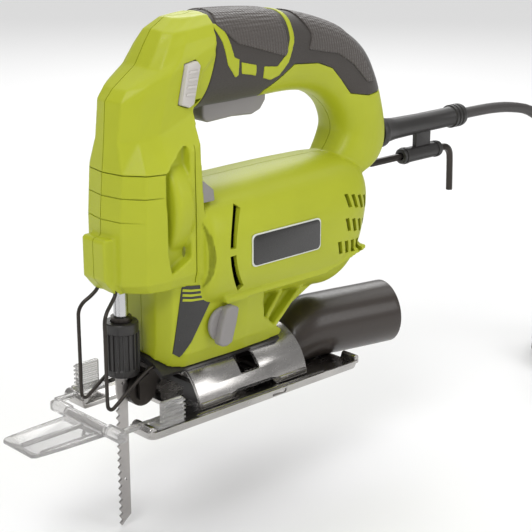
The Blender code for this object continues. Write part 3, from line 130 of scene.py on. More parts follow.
def soften(obj, width, segments=2, angle=30):
    """Rounds every edge sharper than the angle."""
    bevel = obj.modifiers.new("soften", "BEVEL")
    bevel.width = width * MM
    bevel.segments = segments
    bevel.limit_method = "ANGLE"
    bevel.angle_limit = math.radians(angle)
    return apply_modifiers(obj)


def block(name, low, high, rounding=0.0, segments=2):
    low = at(*low)
    high = at(*high)
    deselect()
    bpy.ops.mesh.primitive_cube_add(size=1.0, location=(low + high) / 2)
    obj = named(name)
    obj.scale = high - low
    settle(obj)
    return soften(obj, rounding, segments) if rounding else obj


TURNS = {"X": (0, math.radians(90), 0), "Y": (math.radians(-90), 0, 0), "Z": (0, 0, 0)}


def bar(name, axis, centre, radius, low, high, sides=32):
    """A round bar along an axis, from low to high on it."""
    middle = list(centre)
    middle["XYZ".index(axis)] = (low + high) / 2
    deselect()
    bpy.ops.mesh.primitive_cone_add(
        vertices=sides, radius1=radius * MM, radius2=radius * MM,
        depth=(high - low) * MM, location=at(*middle), rotation=TURNS[axis])
    return settle(named(name))


PLANE_POINTS = {
    "XY": (lambda a, b, c: at(a, b, c), (0, 0, 1)),
    "XZ": (lambda a, b, c: at(a, c, b), (0, 1, 0)),
    "YZ": (lambda a, b, c: at(c, a, b), (1, 0, 0)),
}


def mesh_object(name, points, faces, edges=()):
    mesh = bpy.data.meshes.new(name)
    mesh.from_pydata([tuple(point) for point in points], list(edges), faces)
    obj = bpy.data.objects.new(name, mesh)
    bpy.context.scene.collection.objects.link(obj)
    return obj


def slab(name, plane, outline, low, high, rounding=0.0):
    """A flat outline extruded from low to high along its plane's normal."""
    place, normal = PLANE_POINTS[plane]
    points = [place(a, b, low) for a, b in outline]
    obj = mesh_object(name, points, [list(range(len(points)))])
    edit_all(obj)
    bpy.ops.mesh.extrude_region_move(
        TRANSFORM_OT_translate={"value": Vector(normal) * (high - low) * MM})
    leave_edit()
    face_out(obj)
    return soften(obj, rounding) if rounding else obj


def turning(name, axis, centre, profile, steps=40):
    """A closed profile of (radius, place along the axis) turned once round."""
    count = len(profile)
    points = [(radius * MM, 0.0, along * MM) for radius, along in profile]
    obj = mesh_object(name, points, [], [(i, (i + 1) % count) for i in range(count)])
    screw = obj.modifiers.new("turn", "SCREW")
    screw.steps = steps
    screw.render_steps = steps
    screw.use_merge_vertices = True
    screw.merge_threshold = 0.00001
    apply_modifiers(obj)
    obj.rotation_euler = TURNS[axis]
    foot = list(centre)
    foot["XYZ".index(axis)] = 0.0
    obj.location = at(*foot)
    settle(obj)
    return face_out(obj)


def curve_object(name, points, radius, resolution):
    curve = bpy.data.curves.new(name, "CURVE")
    curve.dimensions = "3D"
    curve.bevel_depth = radius * MM
    curve.bevel_resolution = resolution
    curve.use_fill_caps = True
    spline = curve.splines.new("POLY")
    spline.points.add(len(points) - 1)
    for point, place in zip(spline.points, points):
        point.co = (*place, 1.0)
    obj = bpy.data.objects.new(name, curve)
    bpy.context.scene.collection.objects.link(obj)
    return obj


def wire(name, points, radius, resolution):
    obj = curve_object(name, points, radius, resolution)
    pick(obj)
    bpy.ops.object.convert(target="MESH")
    return face_out(named(name))


def smoothed(rows, steps):
    """More rows along a smooth curve through the given ones."""
    rows = [Vector(row) for row in rows]
    last = len(rows) - 1
    result = []
    for index in range(last):
        before = rows[max(index - 1, 0)]
        start = rows[index]
        end = rows[index + 1]
        after = rows[min(index + 2, last)]
        for step in range(steps):
            t = step / steps
            result.append(
                0.5 * (2 * start + (end - before) * t
                       + (2 * before - 5 * start + 4 * end - after) * t * t
                       + (3 * start - before - 3 * end + after) * t ** 3))
    result.append(rows[-1])
    return result


def arc(centre, radius, start, end, steps):
    """Points of an arc; the angles are in degrees."""
    points = []
    for i in range(steps + 1):
        angle = math.radians(start + (end - start) * i / steps)
        points.append((centre[0] + radius * math.cos(angle), centre[1] + radius * math.sin(angle)))
    return points


def loft(name, rings):
    """A closed body skinned over rings of the same number of points."""
    points = [point for ring in rings for point in ring]
    count = len(rings[0])
    faces = []
    for row in range(len(rings) - 1):
        for i in range(count):
            j = (i + 1) % count
            a = row * count
            faces.append((a + i, a + j, a + count + j, a + count + i))
    faces.append(tuple(range(count)))
    faces.append(tuple(range(len(points) - count, len(points))))
    return face_out(mesh_object(name, points, faces))


def shape(target, operation, tools):
    """Applies each tool to the target as a boolean and throws the tool away."""
    for tool in tools:
        change = target.modifiers.new(operation, "BOOLEAN")
        change.operation = operation
        change.solver = "MANIFOLD"
        change.object = tool
        apply_modifiers(target)
        bpy.data.objects.remove(tool)
    return target


def merge(target, *tools):
    return shape(target, "UNION", tools)


def carve(target, *tools):
    return shape(target, "DIFFERENCE", tools)


def keep(target, tool):
    return shape(target, "INTERSECT", (tool,))


def together(*objs):
    """Joins objects that don't touch into one."""
    pick(*objs)
    bpy.ops.object.join()
    return objs[0]


def copied(obj, name):
    twin = obj.copy()
    twin.data = obj.data.copy()
    twin.name = name
    bpy.context.scene.collection.objects.link(twin)
    return twin


def mirrored(obj, name):
    """A copy on the other side of the seam, its faces turned out again."""
    twin = copied(obj, name)
    twin.data.transform(Matrix.Scale(-1, 4, (0, 1, 0)))
    twin.data.flip_normals()
    return twin


def remeshed(obj, size, rounds):
    """Fuses the body into an even skin, then eases its edges."""
    skin = obj.modifiers.new("skin", "REMESH")
    skin.mode = "VOXEL"
    skin.voxel_size = size * MM
    ease = obj.modifiers.new("ease", "SMOOTH")
    ease.factor = 0.5
    ease.iterations = rounds
    return apply_modifiers(obj)


def left_half(obj):
    return keep(obj, block("left_space", (-200, SEAM_HALF, -10), (120, 80, 230)))


def done(obj, finish, body, replaces=(), angle=35):
    """Shades, finishes and hangs a piece on its body."""
    pick(obj)
    bpy.ops.object.shade_smooth_by_angle(angle=math.radians(angle))
    obj.data.materials.clear()
    obj.data.materials.append(FINISHES[finish])
    obj.data.name = obj.name
    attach(obj, body)
    if replaces:
        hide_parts(*replaces)
    deselect()
    return obj


# ---- finishes ------------------------------------------------------------------------------
FINISHES = {}


class Nodes:
    """A finish's node tree, with short ways to add to it."""

    def __init__(self, name):
        self.finish = bpy.data.materials.new(name)
        self.finish.use_nodes = True
        self.tree = self.finish.node_tree
        self.shader = self.tree.nodes["Principled BSDF"]
        self.places = self.add("ShaderNodeTexCoord").outputs["Object"]

    def add(self, kind, **settings):
        node = self.tree.nodes.new(kind)
        for key, value in settings.items():
            setattr(node, key, value)
        return node

    def join(self, source, target):
        self.tree.links.new(source, target)

    def noise(self, scale, detail=4.0, stretch=(1, 1, 1)):
        mapping = self.add("ShaderNodeMapping")
        mapping.inputs["Scale"].default_value = stretch
        self.join(self.places, mapping.inputs["Vector"])
        node = self.add("ShaderNodeTexNoise")
        node.inputs["Scale"].default_value = scale
        node.inputs["Detail"].default_value = detail
        node.inputs["Roughness"].default_value = 0.6
        self.join(mapping.outputs["Vector"], node.inputs["Vector"])
        return node.outputs["Fac"]

    def ranged(self, source, low, high):
        """Stretches the middle of a noise over low to high."""
        node = self.add("ShaderNodeMapRange")
        node.inputs["From Min"].default_value = 0.3
        node.inputs["From Max"].default_value = 0.7
        node.inputs["To Min"].default_value = low
        node.inputs["To Max"].default_value = high
        self.join(source, node.inputs["Value"])
        return node.outputs["Result"]

    def blend_colours(self, factor, first, second):
        node = self.add("ShaderNodeMix", data_type="RGBA")
        node.inputs["A"].default_value = (*first, 1.0)
        node.inputs["B"].default_value = (*second, 1.0)
        self.join(factor, node.inputs["Factor"])
        return node.outputs["Result"]

    def bump(self, height, distance, strength=1.0, below=None):
        node = self.add("ShaderNodeBump")
        node.inputs["Distance"].default_value = distance
        node.inputs["Strength"].default_value = strength
        self.join(height, node.inputs["Height"])
        if below:
            self.join(below, node.inputs["Normal"])
        return node.outputs["Normal"]

    def dots(self, scale):
        node = self.add("ShaderNodeTexVoronoi")
        node.inputs["Scale"].default_value = scale
        node.inputs["Randomness"].default_value = 0.15
        self.join(self.places, node.inputs["Vector"])
        return node.outputs["Distance"]


def shaded(colour, amount):
    return tuple(max(0.0, min(1.0, part * amount)) for part in colour)


def new_finish(name, colour, roughness, metallic=0.0, spread=0.12, grain=900, depth=0.00004,
               stretch=(1, 1, 1), cloud=25, specular=0.5, coat=0.0, dots=0, glow=0.0):
    """A finish with soft colour variation, uneven gloss, and a fine surface grain."""
    nodes = Nodes(name)
    shader = nodes.shader
    cloudy = nodes.noise(cloud, 5)
    fine = nodes.noise(grain, 3, stretch)
    tone = nodes.blend_colours(
        nodes.ranged(cloudy, 0, 1), shaded(colour, 1 - spread), shaded(colour, 1 + spread * 0.6))
    nodes.join(tone, shader.inputs["Base Color"])
    gloss = nodes.ranged(fine, roughness * 0.85, min(1.0, roughness * 1.2))
    nodes.join(gloss, shader.inputs["Roughness"])
    normal = nodes.bump(fine, depth)
    if dots:
        normal = nodes.bump(nodes.dots(dots), 0.0007, 1.0, normal)
    nodes.join(normal, shader.inputs["Normal"])
    shader.inputs["Metallic"].default_value = metallic
    shader.inputs["Specular IOR Level"].default_value = specular
    shader.inputs["Coat Weight"].default_value = coat
    if glow:
        shader.inputs["Sheen Weight"].default_value = glow
    FINISHES[name] = nodes.finish
    return nodes


def clear_finish(colour):
    nodes = new_finish("clear_plastic", colour, 0.1, spread=0.02, grain=300,
                       depth=0.00003)
    nodes.shader.inputs["Transmission Weight"].default_value = 0.78
    nodes.shader.inputs["IOR"].default_value = 1.49


def make_finishes(tones):
    new_finish("lime_plastic", tones.lime, 0.44, spread=0.05, grain=1400,
               depth=0.00002, specular=0.36, coat=0.03)
    new_finish("soft_grip", tones.rubber, 0.62, spread=0.12, grain=1600,
               depth=0.00006, glow=0.25)
    new_finish("grip_patch", tones.patch, 0.5, spread=0.1, grain=1600,
               depth=0.00004, dots=520, glow=0.2)
    new_finish("grey_plastic", tones.grey, 0.42, spread=0.05, grain=1200,
               depth=0.00003)
    new_finish("pale_plastic", tones.pale, 0.4, spread=0.05, grain=1200,
               depth=0.00003)
    new_finish("black_plastic", tones.black, 0.38, spread=0.15, grain=1200,
               depth=0.00003)
    new_finish("duct_plastic", tones.duct, 0.34, spread=0.1, grain=900,
               depth=0.00003, coat=0.1)
    new_finish("label", tones.label, 0.3, spread=0.06, grain=1800, depth=0.00001,
               coat=0.3)
    new_finish("label_edge", tones.label_edge, 0.4, spread=0.03, grain=1800,
               depth=0.00001)
    new_finish("pressed_steel", tones.steel, 0.24, 1.0, spread=0.14, grain=420,
               depth=0.00003, stretch=(0.3, 1, 1), cloud=60)
    new_finish("ground_steel", tones.bright, 0.2, 1.0, spread=0.08, grain=1500,
               depth=0.00003, stretch=(1, 1, 0.15))
    new_finish("blade_steel", tones.blade, 0.34, 1.0, spread=0.14, grain=1200,
               depth=0.00004, stretch=(0.2, 1, 1))
    new_finish("dark_steel", tones.dark, 0.36, 0.85, spread=0.2, grain=900,
               depth=0.00004)
    new_finish("laminated_steel", (0.30, 0.30, 0.32), 0.5, 1.0, grain=1800,
               depth=0.00015, stretch=(1, 0.02, 0.02))
    new_finish("copper", (0.72, 0.33, 0.16), 0.35, 1.0, grain=900, depth=0.0002,
               stretch=(0.05, 1, 1))
    new_finish("bronze", (0.62, 0.42, 0.18), 0.38, 1.0)
    new_finish("carbon", (0.02, 0.02, 0.02), 0.7)
    new_finish("cord_rubber", tones.cord, 0.5, spread=0.12, grain=1200,
               depth=0.00005)
    clear_finish(tones.clear)


NODE_FINISHES = {
    "screw_head": "dark_steel", "screw_handle_top": "dark_steel", "screw_handle_rear": "dark_steel",
    "screw_motor_rear": "dark_steel", "screw_gearcase": "dark_steel", "base_frame": "black_plastic",
    "bevel_nut": "ground_steel", "bevel_bolt": "dark_steel", "washer_plate": "dark_steel",
    "roller_bracket": "dark_steel", "stator_core": "laminated_steel", "field_coil_left": "copper",
    "field_coil_right": "copper", "front_bearing": "ground_steel", "rear_bearing": "ground_steel",
    "brush_holder_left": "bronze", "brush_holder_right": "bronze", "brush_left": "carbon",
    "brush_right": "carbon", "gear_plate": "ground_steel", "gear_pin": "ground_steel",
    "upper_bush": "bronze", "lower_bush": "bronze", "switch_module": "black_plastic",
    "cable_clamp": "black_plastic", "armature_shaft": "ground_steel",
    "armature_core": "laminated_steel", "armature_winding": "copper", "commutator": "copper",
    "cooling_fan": "black_plastic", "drive_gear": "ground_steel", "crank_pin": "ground_steel",
    "plunger_rod": "ground_steel", "yoke": "dark_steel", "clamp_core": "dark_steel",
    "guide_roller": "dark_steel", "dust_hood": "black_plastic",
}


# ---- sizes and colours ---------------------------------------------------------------------
def length_prop(name, description, default):
    return bpy.props.FloatProperty(
        name=name, description=description, default=default, min=0.0, unit="LENGTH")


def colour_prop(name, description, default):
    return bpy.props.FloatVectorProperty(
        name=name, description=description, default=default, min=0.0, max=1.0, subtype="COLOR")


class JigsawSizes(bpy.types.PropertyGroup):
    """Sizes that a user would change."""

    skin: length_prop("Skin", "Size of the cells in the housing's skin", 0.0008)
    grip_skin: length_prop("Grip Skin", "Size of the cells in the grip's skin", 0.0006)
    wall: length_prop("Wall", "Thickness of the housing's wall", 0.0026)
    cord: length_prop("Cord", "Diameter of the cord", 0.0066)
    guard: length_prop("Guard Wire", "Radius of the finger guard's wire", 0.001)


class JigsawColours(bpy.types.PropertyGroup):
    """Colours that a user would change."""

    lime: colour_prop("Lime", "Housing plastic", (0.435, 0.478, 0.020))
    rubber: colour_prop("Rubber", "Soft grip", (0.032, 0.025, 0.020))
    patch: colour_prop("Grip Patch", "Textured panels of the grip", (0.066, 0.055, 0.048))
    grey: colour_prop("Grey", "Trigger and blower knob", (0.27, 0.255, 0.25))
    pale: colour_prop("Pale Grey", "Lock button", (0.58, 0.55, 0.52))
    black: colour_prop("Black", "Boot, frame and clamp", (0.028, 0.026, 0.025))
    duct: colour_prop("Duct", "Dust tube", (0.036, 0.027, 0.022))
    label: colour_prop("Label", "Badge face", (0.014, 0.013, 0.012))
    label_edge: colour_prop("Label Edge", "Thin line round the badge", (0.70, 0.72, 0.66))
    steel: colour_prop("Pressed Steel", "Shoe and saddle", (0.47, 0.455, 0.44))
    bright: colour_prop("Ground Steel", "Plunger and gears", (0.55, 0.55, 0.56))
    blade: colour_prop("Blade", "Saw blade", (0.46, 0.44, 0.43))
    dark: colour_prop("Dark Steel", "Guard, roller and key", (0.055, 0.048, 0.043))
    cord: colour_prop("Cord", "Cord and plug", (0.055, 0.050, 0.048))
    clear: colour_prop("Clear", "Splinter shield", (0.80, 0.79, 0.78))
    floor: colour_prop("Floor", "Floor of the stage", (0.86, 0.86, 0.86))


def sizes():
    return bpy.context.scene.jigsaw_sizes


def colours():
    return bpy.context.scene.jigsaw_colours


# ---- stage ---------------------------------------------------------------------------------
CAMERA_TURN = 137.0
CAMERA_RISE = 17.6
CAMERA_PLACE = (0.4628, 0.5580, 0.3013)
LENS = 98.26


def area_light(name, place, target, size, power):
    bpy.ops.object.light_add(type="AREA", location=place)
    lamp = bpy.context.object
    lamp.name = name
    lamp.data.size = size
    lamp.data.energy = power
    lamp.rotation_euler = (Vector(target) - Vector(place)).to_track_quat("-Z", "Y").to_euler()


class JIGSAW_OT_stage(bpy.types.Operator):
    """Sets up the floor, the soft light and the camera"""

    bl_idname = "jigsaw.stage"
    bl_label = "Stage"

    def execute(self, context):
        scene = context.scene
        turn = math.radians(CAMERA_TURN)
        rise = math.radians(CAMERA_RISE)
        back = Vector((math.sin(turn) * math.cos(rise), -math.cos(turn) * math.cos(rise),
                       math.sin(rise)))
        deselect()
        bpy.ops.object.camera_add(location=CAMERA_PLACE)
        camera = context.object
        camera.name = "camera"
        camera.rotation_euler = (-back).to_track_quat("-Z", "Y").to_euler()
        camera.data.lens = LENS
        camera.data.sensor_width = 36.0
        camera.data.clip_end = 50.0
        scene.camera = camera
        bpy.ops.mesh.primitive_plane_add(size=12.0, location=(0, 0, FLOOR_Z - 0.0003))
        floor = named("floor")
        nodes = Nodes("floor")
        tone = colours().floor
        colour = nodes.blend_colours(nodes.noise(3), shaded(tone, 0.99), shaded(tone, 1.0))
        nodes.join(colour, nodes.shader.inputs["Base Color"])
        nodes.shader.inputs["Roughness"].default_value = 0.75
        nodes.shader.inputs["Specular IOR Level"].default_value = 0.2
        floor.data.materials.append(nodes.finish)
        world = bpy.data.worlds.new("studio")
        scene.world = world
        world.use_nodes = True
        sky = world.node_tree.nodes["Background"]
        sky.inputs["Color"].default_value = (1.0, 1.0, 1.0, 1.0)
        sky.inputs["Strength"].default_value = 0.36
        area_light("key_light", (0.9, 0.5, 1.1), (0, 0, 0.08), 0.6, 8)
        area_light("side_light", (-0.5, 1.3, 0.7), (0, 0, 0.08), 0.7, 4.5)
        area_light("back_light", (-0.9, -0.9, 0.9), (0, 0, 0.1), 0.8, 6)
        bpy.ops.object.light_add(type="SUN", location=(0, 0, 2),
                                 rotation=(math.radians(12), math.radians(-20), 0))
        ceiling = context.object
        ceiling.name = "ceiling_light"
        ceiling.data.energy = 1.5
        ceiling.data.angle = math.radians(70)
        scene.view_settings.view_transform = "Standard"
        deselect()
        return {"FINISHED"}


class JIGSAW_OT_finishes(bpy.types.Operator):
    """Mixes the finishes and puts them on the frame's own pieces"""

    bl_idname = "jigsaw.finishes"
    bl_label = "Finishes"

    def execute(self, context):
        make_finishes(colours())
        for node, finish in NODE_FINISHES.items():
            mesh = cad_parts[node].data
            mesh.materials.clear()
            mesh.materials.append(FINISHES[finish])
        return {"FINISHED"}


# ---- cord and plug -------------------------------------------------------------------------
CORD_ROUTE = (
    (-200.3, 0, 121.5), (-215, 0, 121.5), (-232, 0, 121), (-250, 0, 119), (-270, -0.5, 114),
    (-287, -1.5, 103), (-298, -3, 86), (-303, -4.5, 63), (-304.8, -6, 39), (-305.4, -7.8, 14),
    (-305.6, -9.2, -4), (-309.1, -10.1, -17.5), (-319, -10.5, -27.4),
)
COIL_CENTRE = (-330, 27)
COIL_RADIUS = 37.5
COIL_PITCH = 6.8
COIL_STEPS = 36                   # points in each turn
# The columns that the turns lie in, from the top layer down: -1 inner, 0 middle, 1 outer.
COIL_LAYERS = ((3, (0, -1)), (2, (-1, 0, 1)), (1, (1, 0, -1)), (0, (-1, 0, 1)))
COIL_SHIFT = 60                   # degrees over which the cord moves to its next turn
COIL_START_Z = -31                # height at which the cord comes onto its first turn
COIL_FLOOR_GAP = 5.0              # from the floor to the middle of the lowest turn
PLUG_FACE = -302
PLUG_HEIGHT = 11                  # from the floor to the middle of the plug
PIN_SPACING = 19
STRAP_THICKNESS = 1.3


def coil_points(floor):
    """The cord wound clockwise from the top layer to the floor, and half a turn to the plug."""
    turns = [(level, column) for level, columns in COIL_LAYERS for column in columns]
    turns.append((0, 1))
    low = floor + COIL_FLOOR_GAP
    points = []
    for number, (level, column) in enumerate(turns):
        radius = COIL_RADIUS + column * COIL_PITCH
        height = low + level * COIL_PITCH
        if number:
            old_level, old_column = turns[number - 1]
            old_radius = COIL_RADIUS + old_column * COIL_PITCH
            old_height = low + old_level * COIL_PITCH
        else:
            old_radius = radius
            old_height = COIL_START_Z
        steps = COIL_STEPS // 2 if number == len(turns) - 1 else COIL_STEPS
        for step in range(steps):
            degrees = 360 * step / COIL_STEPS
            t = min(1.0, degrees / COIL_SHIFT)
            t = t * t * (3 - 2 * t)
            angle = math.radians(-90 - degrees)
            reach = old_radius + (radius - old_radius) * t
            points.append((COIL_CENTRE[0] + reach * math.cos(angle),
                           COIL_CENTRE[1] + reach * math.sin(angle),
                           old_height + (height - old_height) * t))
    return points, COIL_RADIUS + COIL_PITCH


class JIGSAW_OT_cord(bpy.types.Operator):
    """Lays the cord from the boot down into its tied coil, with the plug at its end"""

    bl_idname = "jigsaw.cord"
    bl_label = "Cord and Plug"

    def execute(self, context):
        floor = FLOOR_Z / MM
        coil, reach = coil_points(floor)
        side = COIL_CENTRE[1] + reach
        way = smoothed(CORD_ROUTE, 3) + coil
        middle = floor + PLUG_HEIGHT
        way += [(COIL_CENTRE[0], side, floor + 5), (-322, side, floor + 5.6),
                (-312, side, floor + 8.6), (PLUG_FACE, side, middle)]
        points = [at(*point) for point in way]
        cord = curve_object("mains_cord", points, sizes().cord / MM / 2, 3)
        cord.data.materials.append(FINISHES["cord_rubber"])
        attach(cord, "housing")
        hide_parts("cord", "cord_coil")
        plug = self.make_plug(side, middle, floor)
        tie = self.make_tie()
        return {"FINISHED"}

    def make_plug(self, side, middle, floor):
        """Two round pins in a body that narrows to a ribbed strain relief."""
        centre = (0, side, middle)
        relief = [(3.35, PLUG_FACE)]
        for step in range(5):
            along = PLUG_FACE + 2 + step * 4.4
            relief += [(4.4 + step * 0.2, along), (4.4 + step * 0.2, along + 2.6),
                       (3.7 + step * 0.2, along + 2.9), (3.7 + step * 0.2, along + 4.2)]
        relief += [(6.5, PLUG_FACE + 25), (6.5, PLUG_FACE + 29), (0, PLUG_FACE + 29), (0, PLUG_FACE)]
        plug = turning("mains_plug", "X", centre, relief, 28)
        body = block("plug_body", (PLUG_FACE + 20, side - 18, floor + 0.2),
                     (PLUG_FACE + 52, side + 18, floor + 21.8))
        for corner in body.data.vertices:
            if corner.co.x < at(PLUG_FACE + 30, 0, 0).x:
                corner.co.y = side * MM + (corner.co.y - side * MM) * 0.55
                corner.co.z = middle * MM + (corner.co.z - middle * MM) * 0.7
        soften(body, 3.6, 4)
        merge(plug, body)
        for offset in (-PIN_SPACING / 2, PIN_SPACING / 2):
            pin = bar("pin", "X", (0, side + offset, middle), 2.3,
                      PLUG_FACE + 48, PLUG_FACE + 70.6, 20)
            merge(plug, soften(pin, 0.9, 3, 60))
        return done(plug, "black_plastic", "housing", ["plug"])

    def make_tie(self):
        """A flat strap round the coil, open along y."""
        low, high = [(corner - at(0, 0, 0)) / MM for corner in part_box("coil_tie")]
        band = Vector((STRAP_THICKNESS, 0, STRAP_THICKNESS))
        past = Vector((0, (high.y - low.y) / 2, 0))
        outer = block("coil_strap", low, high, 1.2, 3)
        inner = block("strap_space", low + band - past, high - band + past)
        return done(carve(outer, inner), "black_plastic", "housing", ["coil_tie"])


# ---- housing -------------------------------------------------------------------------------
# The handle and motor are skinned between an outer and an inner line:
# (outer x, outer z, inner x, inner z, half width).
HANDLE_LINES = (
    (30, 198, 34, 152, 19.5), (16, 203.2, 18, 155.3, 19.5), (0, 203.5, 0, 155.5, 19),
    (-24, 202, -22, 155.8, 18.8), (-46, 199, -42, 156.3, 18.4), (-68, 193.6, -57, 155.2, 18),
    (-88, 185.8, -69, 151.5, 17.6), (-103, 175, -78, 145.5, 17.4), (-112, 160, -84, 138, 17.4),
    (-117.5, 145, -86.5, 129, 17.4), (-121.5, 130, -83, 122, 17.4), (-121.5, 118, -79, 117, 17.2),
    (-115, 109, -77, 111, 17), (-104, 104.5, -76, 104.5, 16),
)
MOTOR_LINES = (
    (31.5, 109, 31.5, 58, 25), (31, 114, 31, 54, 30), (28, 116.6, 28, 52, 32.8),
    (20, 117.5, 20, 51, 34), (-10, 118, -10, 49.6, 34), (-40, 118.5, -40, 47.5, 33.6),
    (-62, 118.4, -58, 45.6, 32.9), (-78, 118, -67, 45, 31.6), (-90, 115.6, -76, 48, 28.6),
    (-98, 109, -84, 55, 22.6), (-101.5, 99, -92, 67, 15),
)
# The nose and the belly are skinned over half outlines, from the front to the rear.
NOSE_RINGS = (
    ((69.5, 0, 69), (67.5, 11.5, 70), (60.5, 21, 70.5), (50, 24.5, 71), (31, 25, 72)),
    ((74.2, 0, 75), (71.8, 13, 75), (63.5, 23.2, 76), (51, 27, 77), (29, 27, 78)),
    ((73.9, 0, 107.7), (71.5, 13.2, 107.7), (63.3, 23.4, 107.7), (51, 27.2, 107.7), (29, 27, 107.7)),
    ((71.9, 0, 131), (69.8, 13.2, 131), (62.3, 23, 131), (50, 26.5, 131.5), (31, 26.8, 143)),
    ((70.3, 0, 146), (68.8, 9, 146), (60, 14.5, 146.5), (50, 18.3, 148.5), (30, 20.5, 158)),
    ((68.8, 0, 165.5), (66.3, 9.5, 165.5), (58.5, 15, 165), (45, 19, 170), (24, 20.5, 177)),
    ((64, 0, 171), (62.5, 9.2, 171), (56, 15, 172), (42, 19.4, 178), (16, 20.8, 184)),
    ((50, 0, 181), (49, 9, 180), (46, 15, 179.5), (36, 18.8, 184), (14, 20.5, 190)),
    ((44, 0, 191), (43, 8.6, 189.5), (40, 13.6, 189), (32, 17, 191), (13, 19, 194)),
    ((39.5, 0, 197.5), (38.5, 7.6, 196.5), (35, 11.8, 196), (28, 14.2, 197), (12, 16, 199)),
    ((31, 0, 202.6), (29.5, 5, 202.3), (26, 7.5, 202), (20, 8.5, 202.4), (11, 9.5, 203)),
)
BELLY_LEVELS = (
    (80, ((50, 0), (50, 12), (46, 21), (38, 25.5), (0, 26), (-13, 25))),
    (56, ((50, 0), (50, 11.5), (46, 20.5), (37, 25), (0, 26), (-13, 25))),
    (42, ((50, 0), (50, 11), (46, 20), (37, 24.5), (0, 25.5), (-14, 24))),
    (34, ((50, 0), (50, 10), (46, 19.5), (38, 23.6), (0, 24.2), (-24, 22))),
    (29.5, ((50, 0), (50, 9), (46, 17.5), (38, 21.4), (0, 21.7), (-30.5, 20))),
    (24.5, ((50, 0), (50, 8), (46, 15), (38, 18.6), (0, 18.9), (-30.5, 17.5))),
    (21.5, ((50, 0), (50, 7), (46, 12), (38, 16.2), (0, 16.5), (-29, 15))),
)
SECTION_POWER = 2.5               # 2 is an ellipse; higher is squarer
GEAR_Z = 111.85
NOSE_ROOM = 17.6                  # half width of the nose's hollow, inside the side recesses
# Screws that hold the halves: (x, z, depth of the head's seat from the seam).
SCREWS = ((54, 156, 10), (-52, 177, 11), (-104, 139, 12), (-86, 109, 12), (38, 60.5, 18))
GRIP_OUTLINE = (
    (8, 212), (13.5, 196), (14, 184), (19, 168), (25, 152), (22, 140), (-20, 140), (-23, 161),
    (-41, 173), (-59, 171.5), (-70, 167.5), (-78, 160), (-86, 151.5), (-99, 149), (-128, 152),
    (-130, 212),
)
GRIP_DEPTH = 1.8
CORD_Z = 121.5                    # height at which the cord leaves the handle
BADGE = (-46, 3.5, 75, 92.5)      # x from, x to, z from, z to
BADGE_FACE = 34.2
KNOB = (18.5, 46.5)
VENT_CENTRE = (-15.8, 86)         # of the arched vents round the front of the motor
PANEL_OUTLINE = ((41.8, 71.5), (31, 70), (24.5, 61), (42.6, 32.5), (46, 35))
BUTTON_OUTLINE = ((38.6, 162.5), (34.5, 181.6), (28, 183), (26, 180.5), (30.6, 162), (33.5, 160.5))


def line_rings(lines, inset=0.0, sides=48, steps=4):
    """Rounded sections between outer and inner lines, pulled in by inset."""
    rings = []
    for outer_x, outer_z, inner_x, inner_z, half_width in smoothed(lines, steps):
        outer = at(outer_x, 0, outer_z)
        inner = at(inner_x, 0, inner_z)
        centre = (outer + inner) / 2
        half = (outer - inner) / 2
        tall = half.length - inset * MM
        wide = (half_width - inset) * MM
        ring = []
        for i in range(sides):
            angle = 2 * math.pi * (i + 0.5) / sides
            c = math.cos(angle)
            s = math.sin(angle)
            along = tall * math.copysign(abs(s) ** (2 / SECTION_POWER), s)
            across = wide * math.copysign(abs(c) ** (2 / SECTION_POWER), c)
            ring.append(centre + half.normalized() * along + Vector((0, across, 0)))
        rings.append(ring)
    return rings


def whole_ring(half, inset=0.0):
    """A ring from a half outline given front to rear."""
    shrunk = [(x - inset, max(0.0, y - inset) if y else 0.0, z) for x, y, z in half]
    return ([at(*point) for point in shrunk]
            + [at(x, -y, z) for x, y, z in reversed(shrunk) if y > 0])


def belly_rings(grow=0.0):
    return [whole_ring([(x, y, z) for x, y in half], -grow) for z, half in BELLY_LEVELS]


def both_sides(maker):
    """A tool and its twin on the other side."""
    tool = maker()
    return together(tool, mirrored(tool, "twin"))


def grown(outline, gap):
    """An outline moved out by gap, each corner along its two edges' normals."""
    points = []
    count = len(outline)
    for i in range(count):
        here = Vector(outline[i])
        first = (here - Vector(outline[i - 1])).normalized()
        second = (Vector(outline[(i + 1) % count]) - here).normalized()
        out = Vector((-first.y - second.y, first.x + second.x))
        step = out * (gap / (1 + first.dot(second)))
        points.append((here.x + step.x, here.y + step.y))
    return points


